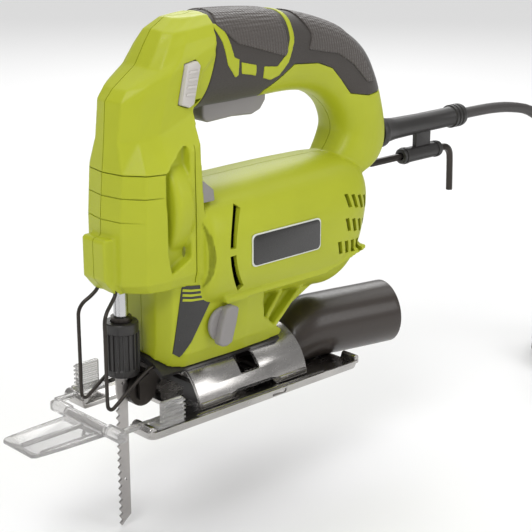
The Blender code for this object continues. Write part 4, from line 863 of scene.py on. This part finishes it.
class JIGSAW_OT_housing(bpy.types.Operator):
    """Moulds the two halves of the housing, hollow, with their vents, grooves and seats"""

    bl_idname = "jigsaw.housing"
    bl_label = "Housing"

    def execute(self, context):
        body = self.outer_form()
        self.shape_nose(body)
        self.shape_motor(body)
        remeshed(body, sizes().skin / MM, 2)
        self.hollow(body)
        self.cut_lines(body)
        left = left_half(copied(body, "housing_shell_left"))
        space = block("right_space", (-200, -80, -10), (120, -SEAM_HALF, 230))
        right = keep(body, space)
        right.name = "housing_shell_right"
        self.bore_halves(left, right)
        done(left, "lime_plastic", "housing", ["housing_left"], angle=50)
        done(right, "lime_plastic", "housing", ["housing_right"], angle=50)
        return {"FINISHED"}

    def outer_form(self):
        body = loft("housing_form", [whole_ring(half) for half in NOSE_RINGS])
        handle = loft("handle_form", line_rings(HANDLE_LINES))
        motor = loft("motor_form", line_rings(MOTOR_LINES, 0, 72, 3))
        belly = loft("belly_form", belly_rings())
        step = slab("boss", "XZ", (
            (60, 99), (77.6, 99), (79, 97.6), (79, 78), (72, 69.5), (60, 69.5)), -9, 9)
        gear = bar("gear_cover", "X", (0, 0, GEAR_Z), 29, 37, 48.5, 96)
        merge(body, handle, motor, belly, step, gear)
        return carve(body, bar("arch_space", "X", (0, 0, 0), 31.1, -60, 80, 96))

    def shape_nose(self, body):
        """The side recess with the gear cover standing in it."""
        recess = ((38, 86), (50.5, 79.5), (52.5, 92), (52.5, 130), (39.5, 143.5), (38, 142))
        carve(body, both_sides(lambda: slab("side_recess", "XZ", recess, 21.3, 40)))
        gear = soften(bar("gear_rim", "X", (0, 0, GEAR_Z), 30.4, 37, 48.9, 96), 3.2, 5, 50)
        merge(body, keep(gear, block("gear_sides", (30, -40, 80), (60, 40, 140))))

    def cut_lines(self, body):
        """Crisp cuts in the finished skin: creases, the upright groove, vents and louvres."""
        for height, front, depth in ((131, 71.9, 0.9), (119.6, 72.9, 0.55), (107.7, 73.9, 0.55)):
            shift = front - 73
            ring = slab("crease_ring", "XY", self.nose_outline(2.0 + shift),
                        height - 0.3, height + 0.3)
            core = slab("crease_core", "XY", self.nose_outline(shift - depth),
                        height - 2, height + 2)
            keep_front = block("crease_span", (50, -40, height - 3), (90, 40, height + 3))
            carve(body, keep(carve(ring, core), keep_front))
        groove = ((34.6, 72), (35.3, 72), (35.3, 130), (34.9, 143), (34.6, 143))
        carve(body, both_sides(lambda: slab("side_groove", "XZ", groove, 24.8, 40)))
        lens = arc((67, 86), 39.8, 153.1, 206.9, 20) + arc((178.2, 86), 147.8, 187, 173, 12)
        carve(body, both_sides(lambda: slab("rim_shadow", "XZ", lens, 20, 50)))
        for low, high in ((-42, -3.2), (3.2, 42)):
            slot = arc(VENT_CENTRE, 34.4, low, high, 20) + arc(VENT_CENTRE, 30.4, high, low, 20)
            carve(body, both_sides(lambda: slab("front_vent", "XZ", slot, 20, 50)))
        for start, height, lean in ((-69, 96.5, 1.9), (-68, 83.5, 1.9), (-62, 71.5, 1.0)):
            for step in range(4):
                x = start - 5.8 * step
                z = height - lean * step * 0.7
                slit = ((x + 1.4, z + 3.8), (x - 1.6, z + 3.8),
                        (x - 3.8, z - 3.8), (x - 0.8, z - 3.8))
                carve(body, both_sides(lambda: slab("louvre", "XZ", slit, 12, 50)))

    def nose_outline(self, grow):
        """The nose from above, moved out by grow; only its front stretch is used."""
        half = ((73 + grow, 0), (70.6 + grow, 13.2), (62.8 + grow, 23.2 + grow), (52, 27 + grow))
        return list(half) + [(x, -y) for x, y in reversed(half[1:])]

    def shape_motor(self, body):
        """The ridge, the fins under the motor and the badge seats."""
        ridge = ((17.5, 60.4), (17.5, 57.4), (-56.7, 58.4), (-86, 66), (-86, 68.8), (-56.7, 61.4))
        merge(body, both_sides(lambda: slab("ridge", "XZ", ridge, 20, 29.6)))
        web = ((-8, 33), (-27, 33), (-62, 50), (-8, 54))
        merge(body, slab("belly_web", "XZ", web, -15.5, 15.5))
        for foot, top in ((-13, -28), (-23, -44)):
            fin = ((foot + 1.6, 33), (foot - 1.6, 33), (top - 1.8, 52), (top + 1.4, 52))
            merge(body, both_sides(lambda: slab("belly_fin", "XZ", fin, 10, 22)))
        x0, x1, z0, z1 = BADGE
        carve(body, both_sides(lambda: block("badge_seat", (x0 - 0.3, BADGE_FACE - 1.2, z0 - 0.3),
                                             (x1 + 0.3, 45, z1 + 0.3))))

    def hollow(self, body):
        """The inside, the openings, and the grip's seat."""
        wall = sizes().wall / MM
        motor = loft("motor_space", line_rings(MOTOR_LINES[2:-1], wall - 0.2, 48, 1))
        handle = loft("handle_space", line_rings(HANDLE_LINES[1:-2], wall + GRIP_DEPTH, 32, 1))
        nose = [[(x - wall, min(NOSE_ROOM, max(0.0, y - wall)), min(163, max(75.6, z)))
                 for x, y, z in half] for half in NOSE_RINGS[1:6]]
        nose_space = loft("nose_space", [whole_ring(half) for half in nose])
        belly = block("belly_space", (-9, -21, 41), (44, 21, 80))
        gear = bar("gear_space", "X", (0, 0, GEAR_Z), 25, 36, 48.4, 64)
        merge(motor, handle, nose_space, belly, gear)
        carve(body, motor)
        for x, z, depth in SCREWS:
            merge(body, bar("screw_boss", "Y", (x, 0, z), 4.2, -depth - 3, depth + 3, 24))
        seat = keep(loft("seat_form", line_rings(HANDLE_LINES, -2, 48)),
                    slab("seat_region", "XZ", grown(GRIP_OUTLINE, 0.3), -50, 50))
        carve(seat, loft("seat_core", line_rings(HANDLE_LINES, GRIP_DEPTH + 0.3, 48)))
        carve(body, seat)
        carve(body, block("trigger_slot", (-32, -9, 140), (16, 9, 168)),
              bar("boot_hole", "X", (0, 0, CORD_Z), 6.7, -130, -100),
              bar("clamp_pocket", "Z", (63, 0, 0), 10.3, 60, 73.6, 48),
              bar("bush_bore", "Z", (63, 0, 0), 6.5, 70, 80),
              block("wire_slot", (69.6, -9, 62), (72.8, 9, 79)),
              bar("bolt_hole", "Z", (-4, 0, 0), 2.9, 20, 46),
              block("nut_pocket", (-8.6, -5.4, 33), (0.6, 5.4, 37.4)))

    def bore_halves(self, left, right):
        for x, z, depth in SCREWS:
            carve(left, bar("pilot", "Y", (x, 0, z), 1.9, -1, 10, 20))
            carve(right, bar("screw_way", "Y", (x, 0, z), 1.9, -40, 1, 20),
                  bar("head_seat", "Y", (x, 0, z), 3.8, -60, -depth, 24))
        carve(left, slab("button_slot", "XZ", grown(BUTTON_OUTLINE, -0.5), 8, 30),
              bar("knob_hole", "Y", (KNOB[0], 0, KNOB[1]), 4.4, 15, 40))


class JIGSAW_OT_grips(bpy.types.Operator):
    """Moulds the soft grip, its textured panels and its coloured inlays, on both sides"""

    bl_idname = "jigsaw.grips"
    bl_label = "Grips"

    def execute(self, context):
        shell = self.skin("grip_cover_left", GRIP_OUTLINE, 0.0, GRIP_DEPTH)
        carve(shell, block("trigger_gap", (-32, -9, 140), (16, 9, 167)))
        left_half(shell)
        remeshed(shell, sizes().grip_skin / MM, 2)
        twin = mirrored(shell, "grip_cover_right")
        carve(twin, bar("grip_screw_hole", "Y", (-52, 0, 177), 3.8, -60, -5))
        done(shell, "soft_grip", "housing", ["grip_left"], angle=60)
        done(twin, "soft_grip", "housing", ["grip_right"], angle=60)
        for name, outline, finish, proud in (
                ("front_panel", FRONT_PANEL, "grip_patch", 0.75),
                ("rear_panel", REAR_PANEL, "grip_patch", 0.75),
                ("curved_inlay", CURVED_INLAY, "lime_plastic", 0.45),
                ("front_inlay", FRONT_INLAY, "lime_plastic", 0.45)):
            piece = left_half(self.skin(name + "_left", outline, -proud, 0.6))
            if name == "curved_inlay":
                carve(piece, block("inlay_gap", (-18.8, -1, 150), (-13.4, 40, 210)))
            remeshed(piece, 0.45, 2)
            other = mirrored(piece, name + "_right")
            done(piece, finish, "housing", angle=60)
            done(other, finish, "housing", angle=60)
        return {"FINISHED"}

    def skin(self, name, outline, outer, inner):
        """The handle's skin between two depths, inside an outline."""
        shell = loft(name, line_rings(HANDLE_LINES, outer, 64, 6))
        keep(shell, slab("region", "XZ", outline, -50, 50))
        return carve(shell, loft("core", line_rings(HANDLE_LINES, inner, 64, 6)))


FRONT_PANEL = (
    (10.4, 198), (1.2, 189.7), (-1.7, 187.7), (-34, 178), (-35.6, 180), (-34.7, 197), (-31, 206),
    (6, 207),
)
REAR_PANEL = (
    (-48, 203), (-49.5, 196.3), (-54.4, 187.3), (-51.3, 179.6), (-74.2, 174.8), (-86.1, 167.6),
    (-97.5, 156.6), (-102.8, 156.6), (-94.5, 172.6), (-78, 196),
)
CURVED_INLAY = (
    (-2.9, 178.5), (-19.2, 174.4), (-28.4, 173.3), (-34.5, 178.8), (-37.6, 186.3), (-38.3, 197.9),
    (-38.5, 208), (-42, 208), (-41.4, 197.1), (-40.7, 184.9), (-36.1, 174.1), (-29.9, 168.1),
    (-24.5, 166.5), (-10.9, 170.9), (-3.5, 172.4),
)
FRONT_INLAY = (
    (13.5, 199), (9, 189.5), (6.2, 178), (0.8, 171), (-1.2, 172), (-1.6, 180), (1.8, 181.5),
    (4.6, 191), (7.6, 198),
)


class JIGSAW_OT_badges(bpy.types.Operator):
    """Sets the plain badges and the belly panel into the housing"""

    bl_idname = "jigsaw.badges"
    bl_label = "Badges"

    def execute(self, context):
        x0, x1, z0, z1 = BADGE
        for name, side in (("left", 1), ("right", -1)):
            edge = self.plate("badge_edge_" + name, BADGE, BADGE_FACE - 0.9, BADGE_FACE - 0.25,
                              side)
            done(edge, "label_edge", "housing")
            inner = (x0 + 0.7, x1 - 0.7, z0 + 0.7, z1 - 0.7)
            face = self.plate("badge_face_" + name, inner, BADGE_FACE - 0.8, BADGE_FACE, side)
            done(face, "label", "housing", ["badge_" + name])
        self.belly_panel("belly_panel", PANEL_OUTLINE, 0.35, "label")
        for number in range(3):
            top = 69.6 - 2.6 * number
            stripe = ((41.6, top), (30.8 - number, top - 1.6), (30 - number, top - 2.7),
                      (41.8, top - 1.3))
            self.belly_panel("panel_stripe_%d" % number, stripe, 0.5, "lime_plastic")
        inset = slab("motor_inset", "XZ", (
            (30.5, 125), (22.6, 118.4), (22, 112.6), (30.5, 112.6)), 12, 26.4, 0.6)
        done(inset, "grey_plastic", "housing")
        return {"FINISHED"}

    def belly_panel(self, name, outline, proud, finish):
        """A thin plate that follows the belly's left side."""
        skin = loft(name, belly_rings(proud))
        keep(skin, slab("panel_region", "XZ", outline, 8, 40))
        carve(skin, loft("panel_core", belly_rings(0.02)))
        done(skin, finish, "housing")

    def plate(self, name, span, low, high, side):
        """A plate with round corners, from low to high out from the seam."""
        x0, x1, z0, z1 = span
        radius = 2.6
        outline = []
        for x, z, start in ((x1, z1, 0), (x0, z1, 90), (x0, z0, 180), (x1, z0, 270)):
            cx = x - radius if x == x1 else x + radius
            cz = z - radius if z == z1 else z + radius
            outline += arc((cx, cz), radius, start, start + 90, 6)
        low, high = sorted((side * low, side * high))
        return slab(name, "XZ", outline, low, high, 0.15)


# ---- controls ------------------------------------------------------------------------------
class JIGSAW_OT_controls(bpy.types.Operator):
    """Makes the trigger, the lock button and the blower knob"""

    bl_idname = "jigsaw.controls"
    bl_label = "Controls"

    def execute(self, context):
        trigger = slab("trigger_lever", "XZ", (
            (14, 163), (14, 151), (12.6, 148.6), (10, 147.8), (-6, 148.6), (-20, 147.8), (-26, 149.8),
            (-29.6, 154.4), (-30, 163)), -8.5, 8.5)
        done(soften(trigger, 1.4, 4), "grey_plastic", "trigger", ["trigger"])
        button = slab("lock_slide", "XZ", BUTTON_OUTLINE, 14, 22, 0.7)
        for step in range(4):
            z = 166.5 + 3.6 * step
            x = 34.6 - (z - 162) * 0.22
            rib = slab("slide_rib", "XZ", (
                (x + 2.6, z), (x + 2.4, z + 1.3), (x - 3.4, z + 1.3), (x - 3.2, z)), 21, 22.8, 0.3)
            merge(button, rib)
        done(button, "pale_plastic", "lock_button", ["lock_button"])
        self.make_knob()
        return {"FINISHED"}

    def make_knob(self):
        """A round dial with a slanted bar to turn it by."""
        x, z = KNOB
        low = 26.3
        profile = [(0, 19), (4, 19), (4, low), (9.2, low), (9.2, low + 1.2), (8.4, low + 2.0),
                   (0, low + 2.0)]
        knob = turning("blower_dial", "Y", (x, 0, z), profile, 48)
        handle = slab("dial_bar", "XZ", (
            (x + 6.5, z - 8.5), (x + 4, z + 2), (x + 0.5, z + 9.5), (x - 3.5, z + 10.4),
            (x - 7.5, z + 8.5), (x - 5.5, z), (x - 2.5, z - 9.5), (x + 1, z - 10.8),
            (x + 4.6, z - 10.4)), low + 1, low + 6.1)
        merge(knob, soften(handle, 1.2, 4))
        done(knob, "grey_plastic", "blower_knob", ["blower_knob"])


# ---- blade drive ---------------------------------------------------------------------------
class JIGSAW_OT_blade(bpy.types.Operator):
    """Makes the toothed blade and the ribbed clamp collar"""

    bl_idname = "jigsaw.blade"
    bl_label = "Blade and Clamp"

    def execute(self, context):
        rear = 60.8
        front = 68
        outline = [(rear, 46), (rear, -57), (front - 1, -62)]
        tooth = -60.5
        while tooth < 10:
            outline += [(front, tooth), (front - 1.8, tooth + 1.3)]
            tooth += 4
        outline += [(front - 0.4, tooth), (front - 0.4, 46)]
        blade = slab("saw_blade", "XZ", outline, -0.6, 0.6)
        holes = [bar("blade_hole", "Y", (63.6, 0, z), 0.9, -3, 3, 20) for z in (18, -14, -36)]
        done(carve(blade, *holes), "blade_steel", "plunger", ["blade"])
        profile = [(5.7, 23.5), (8.4, 23.5), (8.7, 24), (8.7, 27), (8.2, 27.6), (8.2, 46), (8.8, 46.6),
                   (8.8, 51.4), (8.3, 52), (5.7, 52)]
        collar = turning("clamp_collar", "Z", (63, 0, 0), profile, 48)
        ribs = []
        for step in range(18):
            rib = block("rib", (7.7, -0.55, 27), (9.1, 0.55, 46.8), 0.25)
            rib.data.transform(Matrix.Translation(-at(0, 0, 0)))
            rib.data.transform(Matrix.Rotation(math.radians(20 * step), 4, "Z"))
            rib.data.transform(Matrix.Translation(at(63, 0, 0)))
            ribs.append(rib)
        merge(collar, together(*ribs))
        done(collar, "black_plastic", "blade_clamp", ["clamp_sleeve"])
        return {"FINISHED"}


class JIGSAW_OT_guard(bpy.types.Operator):
    """Bends the finger guard from one wire"""

    bl_idname = "jigsaw.guard"
    bl_label = "Finger Guard"

    def execute(self, context):
        rear_z = 26.9
        leg = [(46, 11, rear_z), (52, 11, rear_z), (57, 11, 25.2), (66, 11, 19.4), (75.4, 11, 12.9),
               (78.6, 11, 11.1), (80.9, 11, 12.4), (81.5, 11, 16.5), (81.5, 11, 28), (81.5, 11, 40),
               (81.5, 11, 52), (81.3, 10.8, 58.5), (79.2, 10, 62.6), (75.6, 8.6, 65.6), (72.4, 7.6, 68.6),
               (71.2, 7.2, 71.4), (71.2, 7.2, 75), (71.2, 5.6, 76.8)]
        other = [(x, -y, z) for x, y, z in reversed(leg)]
        points = [at(*point) for point in smoothed(leg, 4) + smoothed(other, 4)]
        guard = wire("finger_guard", points, sizes().guard / MM, 3)
        done(guard, "dark_steel", "housing", ["wire_guard"], angle=60)
        return {"FINISHED"}


# ---- shoe ----------------------------------------------------------------------------------
SHOE_FRONT = 75
SHOE_SIDE = 37.75
SHOE_CORNER = 4.0
HINGE_PIN = (86.6, 0, 3.4)


def shoe_ring(inset, height):
    """The shoe's outline at a height, pulled in by inset."""
    front = SHOE_FRONT - inset
    side = SHOE_SIDE - inset
    half = [(front, 0)]
    half += arc((front - SHOE_CORNER, side - SHOE_CORNER), SHOE_CORNER, 0, 90, 5)
    half += [(front - 24, side)]
    half += arc((SHOE_CORNER - front, side - SHOE_CORNER), SHOE_CORNER, 90, 180, 5)
    return whole_ring([(x, y, height) for x, y in half])


class JIGSAW_OT_shoe(bpy.types.Operator):
    """Presses the shoe and its arched saddle"""

    bl_idname = "jigsaw.shoe"
    bl_label = "Shoe and Saddle"

    def execute(self, context):
        self.make_plate()
        self.make_saddle()
        return {"FINISHED"}

    def make_plate(self):
        shoe = loft("shoe_pressing", [shoe_ring(inset, height) for inset, height in (
            (2.2, 0), (1.2, 0.5), (0.2, 4.3), (0.1, 4.8))])
        tray = loft("tray", [shoe_ring(inset, height) for inset, height in (
            (3.6, 2.2), (2.6, 2.6), (1.7, 4.2), (1.5, 9))])
        carve(shoe, tray)
        carve(shoe, block("blade_slot", (50, -20.3, -5), (80, 20.3, 20)),
              block("roller_slot", (41, -13, -5), (80, 13, 20)),
              bar("key_hole", "Z", (-4, 0, 0), 6, -5, 10, 48),
              block("tube_gap", (-76, -15, 2.5), (-71, 24, 20)))
        for side in (1, -1):
            low, high = sorted((side * 35.6, side * 42))
            carve(shoe, block("rim_slot", (-18, low, 1.2), (-8, high, 3.9), 0.8, 3))
        soften(shoe, 0.45, 2, 40)
        for side in (1, -1):
            low, high = sorted((side * 20.9, side * 36.4))
            lip = soften(bar("front_lip", "Y", (72.2, 0, 4.4), 2.8, low, high, 32), 1.0, 3, 50)
            merge(shoe, lip)
            low, high = sorted((side * 25.5, side * 36.4))
            merge(shoe, soften(bar("rear_lip", "Y", (-73.3, 0, 5.8), 1.7, low, high, 24), 0.7, 3, 50))
            merge(shoe, block("rear_corner", (-74.8, low, 2.6), (-71.8, high, 6.2), 0.5))
            low, high = sorted((side * 30.4, side * 31.8))
            merge(shoe, block("pressed_rib", (-52, low, 2.2), (40, high, 3.3), 0.5))
        done(shoe, "pressed_steel", "shoe", ["shoe_plate"])

    def make_saddle(self):
        outer = 27.5
        inner = 25.3
        foot = 2.8
        start = math.degrees(math.asin(foot / outer))
        inner_start = math.degrees(math.asin(foot / inner))
        outline = arc((0, 0), outer, start, 180 - start, 56)
        outline += arc((0, 0), inner, 180 - inner_start, inner_start, 56)
        saddle = slab("shoe_arch", "YZ", outline, -42.8, 34)
        window = block("bolt_window", (-10.8, -40, 13.3), (2.8, 40, 40), 1.5, 3)
        opening = slab("side_opening", "XZ", (
            (-20, -1), (-20, 3), (-16.6, 7), (7.4, 7), (10.5, 4), (10.5, -1)), -40, 40)
        carve(saddle, window, opening)
        soften(saddle, 0.4, 2, 40)
        for side in (1, -1):
            low, high = sorted((side * 25.9, side * 28.3))
            merge(saddle, block("foot_tab", (-42.4, low, 3.0), (-22, high, 6.4), 0.7))
            merge(saddle, block("foot_tab", (13, low, 3.0), (33.6, high, 6.4), 0.7))
        done(saddle, "pressed_steel", "shoe", ["shoe_saddle"])


class JIGSAW_OT_shield(bpy.types.Operator):
    """Makes the clear carrier and the splinter shield that turns on it"""

    bl_idname = "jigsaw.shield"
    bl_label = "Splinter Shield"

    def execute(self, context):
        carrier = block("clear_carrier", (83, -29.8, 0.8), (89, 29.8, 6.6), 1.4, 3)
        carve(carrier, block("knuckle_room", (80, -16.5, -4), (93, 16.5, 12)))
        merge(carrier, bar("hinge_pin", "Y", HINGE_PIN, 1.3, -20, 20, 20))
        for side in (1, -1):
            for name, near, far, rounding in (
                    ("arm", (66, 25.8, 5.1), (86, 29.8, 7.3), 0.6),
                    ("shelf", (53, 25.8, 5.1), (70, 37, 7.3), 0.6),
                    ("pad", (53, 34, 5.1), (67, 37, 19), 0.9)):
                low, high = sorted((side * near[1], side * far[1]))
                merge(carrier, block(name, (near[0], low, near[2]), (far[0], high, far[2]), rounding))
            for step in range(5):
                z = 7.6 + 2.3 * step
                low, high = sorted((side * 36.4, side * 37.7))
                merge(carrier, block("pad_rib", (52.6, low, z), (67.4, high, z + 1.1), 0.4))
        done(carrier, "clear_plastic", "shoe", ["shield_carrier"])
        flap = bar("splinter_shield", "Y", HINGE_PIN, 3.2, -16.2, 16.2, 40)
        tongue = slab("tongue", "XY", (
            (85.6, -16.2), (112, -15.2), (127, -13.8), (129, -12), (129, 12), (127, 13.8), (112, 15.2),
            (85.6, 16.2)), 0.3, 2.4, 0.5)
        merge(flap, tongue)
        merge(flap, block("tongue_rib", (85.6, -1.2, 1), (126, 1.2, 3.4), 0.5))
        for side in (1, -1):
            low, high = sorted((side * 12, side * 13.2))
            merge(flap, block("edge_rib", (88, low, 1), (124, high, 3.0), 0.4))
        carve(flap, bar("hinge_bore", "Y", HINGE_PIN, 1.6, -30, 30, 20))
        done(flap, "clear_plastic", "shield", ["shield_flap"])
        return {"FINISHED"}


# ---- dust tube -----------------------------------------------------------------------------
TUBE_STATIONS = (
    (-27, 0, 9.2, 14.2), (-43.4, 0, 9.6, 14.4), (-50, 1.2, 13, 16.6), (-62, 3.8, 18, 18.0),
    (-76, 6.8, 18.6, 18.2), (-100, 12, 18.6, 18.2), (-117, 15.6, 18.6, 18.2),
)


class JIGSAW_OT_dust_tube(bpy.types.Operator):
    """Makes the dust tube that widens behind the saddle"""

    bl_idname = "jigsaw.dust_tube"
    bl_label = "Dust Tube"

    def execute(self, context):
        outer = self.rings(0.0)
        inner = self.rings(2.0)
        inner[0] = [point + Vector((3 * MM, 0, 0)) for point in inner[0]]
        inner[-1] = [point + Vector((-4 * MM, 0.85 * MM, 0)) for point in inner[-1]]
        tube = carve(loft("dust_pipe", outer), loft("pipe_bore", inner))
        soften(tube, 0.5, 3, 50)
        done(tube, "duct_plastic", "dust_tube", ["dust_tube"], angle=50)
        return {"FINISHED"}

    def rings(self, inset):
        """Upright sections along the tube, kept clear of the shoe in front."""
        stations = smoothed(TUBE_STATIONS, 4)
        result = []
        for i, (x, y, z, radius) in enumerate(stations):
            before = stations[max(i - 1, 0)]
            after = stations[min(i + 1, len(stations) - 1)]
            along = Vector((after[0] - before[0], after[1] - before[1], 0.0)).normalized()
            side = Vector((0, 0, 1)).cross(along)
            ring = []
            for k in range(64):
                angle = 2 * math.pi * k / 64
                reach = (radius - inset) * MM
                point = at(x, y, z) + side * reach * math.cos(angle)
                point.z += reach * math.sin(angle)
                if x > -80:
                    point.z = max(point.z, (2.8 + inset) * MM)
                ring.append(point)
            result.append(ring)
        return result


# ---- boot and key --------------------------------------------------------------------------
KEY_Z = 103.6                     # height of the key in its holder


class JIGSAW_OT_boot(bpy.types.Operator):
    """Makes the cord's boot with its ringed collar, the key holder, and the key in it"""

    bl_idname = "jigsaw.boot"
    bl_label = "Boot and Key"

    def execute(self, context):
        profile = [(0, -200), (5.4, -200), (6.4, -199.4), (6.9, -198)]
        for start in (-197.4, -194.4, -191.4):
            profile += [(7.0, start), (7.0, start + 1.7), (6.2, start + 2.1), (6.2, start + 2.7)]
        profile += [(5.9, -188), (5.9, -160), (6.4, -138), (7.2, -131), (9.0, -127.4), (9.2, -126.6),
                    (9.2, -123.8), (8.8, -123.2), (6.2, -123), (6.2, -108), (0, -108)]
        boot = turning("cord_sleeve", "X", (0, 0, CORD_Z), profile, 40)
        strut = block("key_strut", (-171, -1.6, 105), (-158, 1.6, 118), 0.5)
        holder = soften(bar("key_holder", "X", (0, 0, KEY_Z), 4.6, -180, -146, 32), 0.9, 3, 60)
        merge(boot, strut, holder)
        for x in (-178, -150.5):
            ring = ((3.0, x), (5.0, x), (5.0, x + 2.2), (3.0, x + 2.2))
            merge(boot, turning("holder_ring", "X", (0, 0, KEY_Z), ring, 32))
        carve(boot, bar("key_bore", "X", (0, 0, KEY_Z), 2.4, -190, -140, 24))
        done(boot, "black_plastic", "housing", ["cord_boot"])
        path = [(-120, 0, KEY_Z), (-150, 0, KEY_Z), (-182, 0, KEY_Z), (-187.6, 0, 102.8),
                (-190.6, 0, 99.6), (-191.4, 0, 95), (-191.7, 0, 86), (-192, 0, 75.6)]
        key = wire("hexagon_key", [at(*point) for point in smoothed(path, 4)], 2.1, 1)
        done(key, "dark_steel", "hex_key", ["hex_key"], angle=25)
        return {"FINISHED"}


# ---- add-on --------------------------------------------------------------------------------
OPERATORS = (
    JIGSAW_OT_stage, JIGSAW_OT_finishes, JIGSAW_OT_cord, JIGSAW_OT_housing, JIGSAW_OT_grips,
    JIGSAW_OT_badges, JIGSAW_OT_controls, JIGSAW_OT_blade, JIGSAW_OT_guard, JIGSAW_OT_shoe,
    JIGSAW_OT_shield, JIGSAW_OT_dust_tube, JIGSAW_OT_boot,
)


class JIGSAW_PT_panel(bpy.types.Panel):
    """Lists the jigsaw's pieces in the order they are made"""

    bl_idname = "JIGSAW_PT_panel"
    bl_label = "Jigsaw"
    bl_space_type = "VIEW_3D"
    bl_region_type = "UI"
    bl_category = "Jigsaw"

    def draw(self, context):
        column = self.layout.column()
        for operator in OPERATORS:
            column.operator(operator.bl_idname)
        for group in (context.scene.jigsaw_sizes, context.scene.jigsaw_colours):
            for name in group.__annotations__:
                column.prop(group, name)


CLASSES = (JigsawSizes, JigsawColours, *OPERATORS, JIGSAW_PT_panel)


def register():
    for cls in CLASSES:
        bpy.utils.register_class(cls)
    bpy.types.Scene.jigsaw_sizes = bpy.props.PointerProperty(type=JigsawSizes)
    bpy.types.Scene.jigsaw_colours = bpy.props.PointerProperty(type=JigsawColours)


def unregister():
    del bpy.types.Scene.jigsaw_colours
    del bpy.types.Scene.jigsaw_sizes
    for cls in reversed(CLASSES):
        bpy.utils.unregister_class(cls)


def main():
    register()
    for operator in OPERATORS:
        group, name = operator.bl_idname.split(".")
        getattr(getattr(bpy.ops, group), name)()


if __name__ == "__main__":
    main()
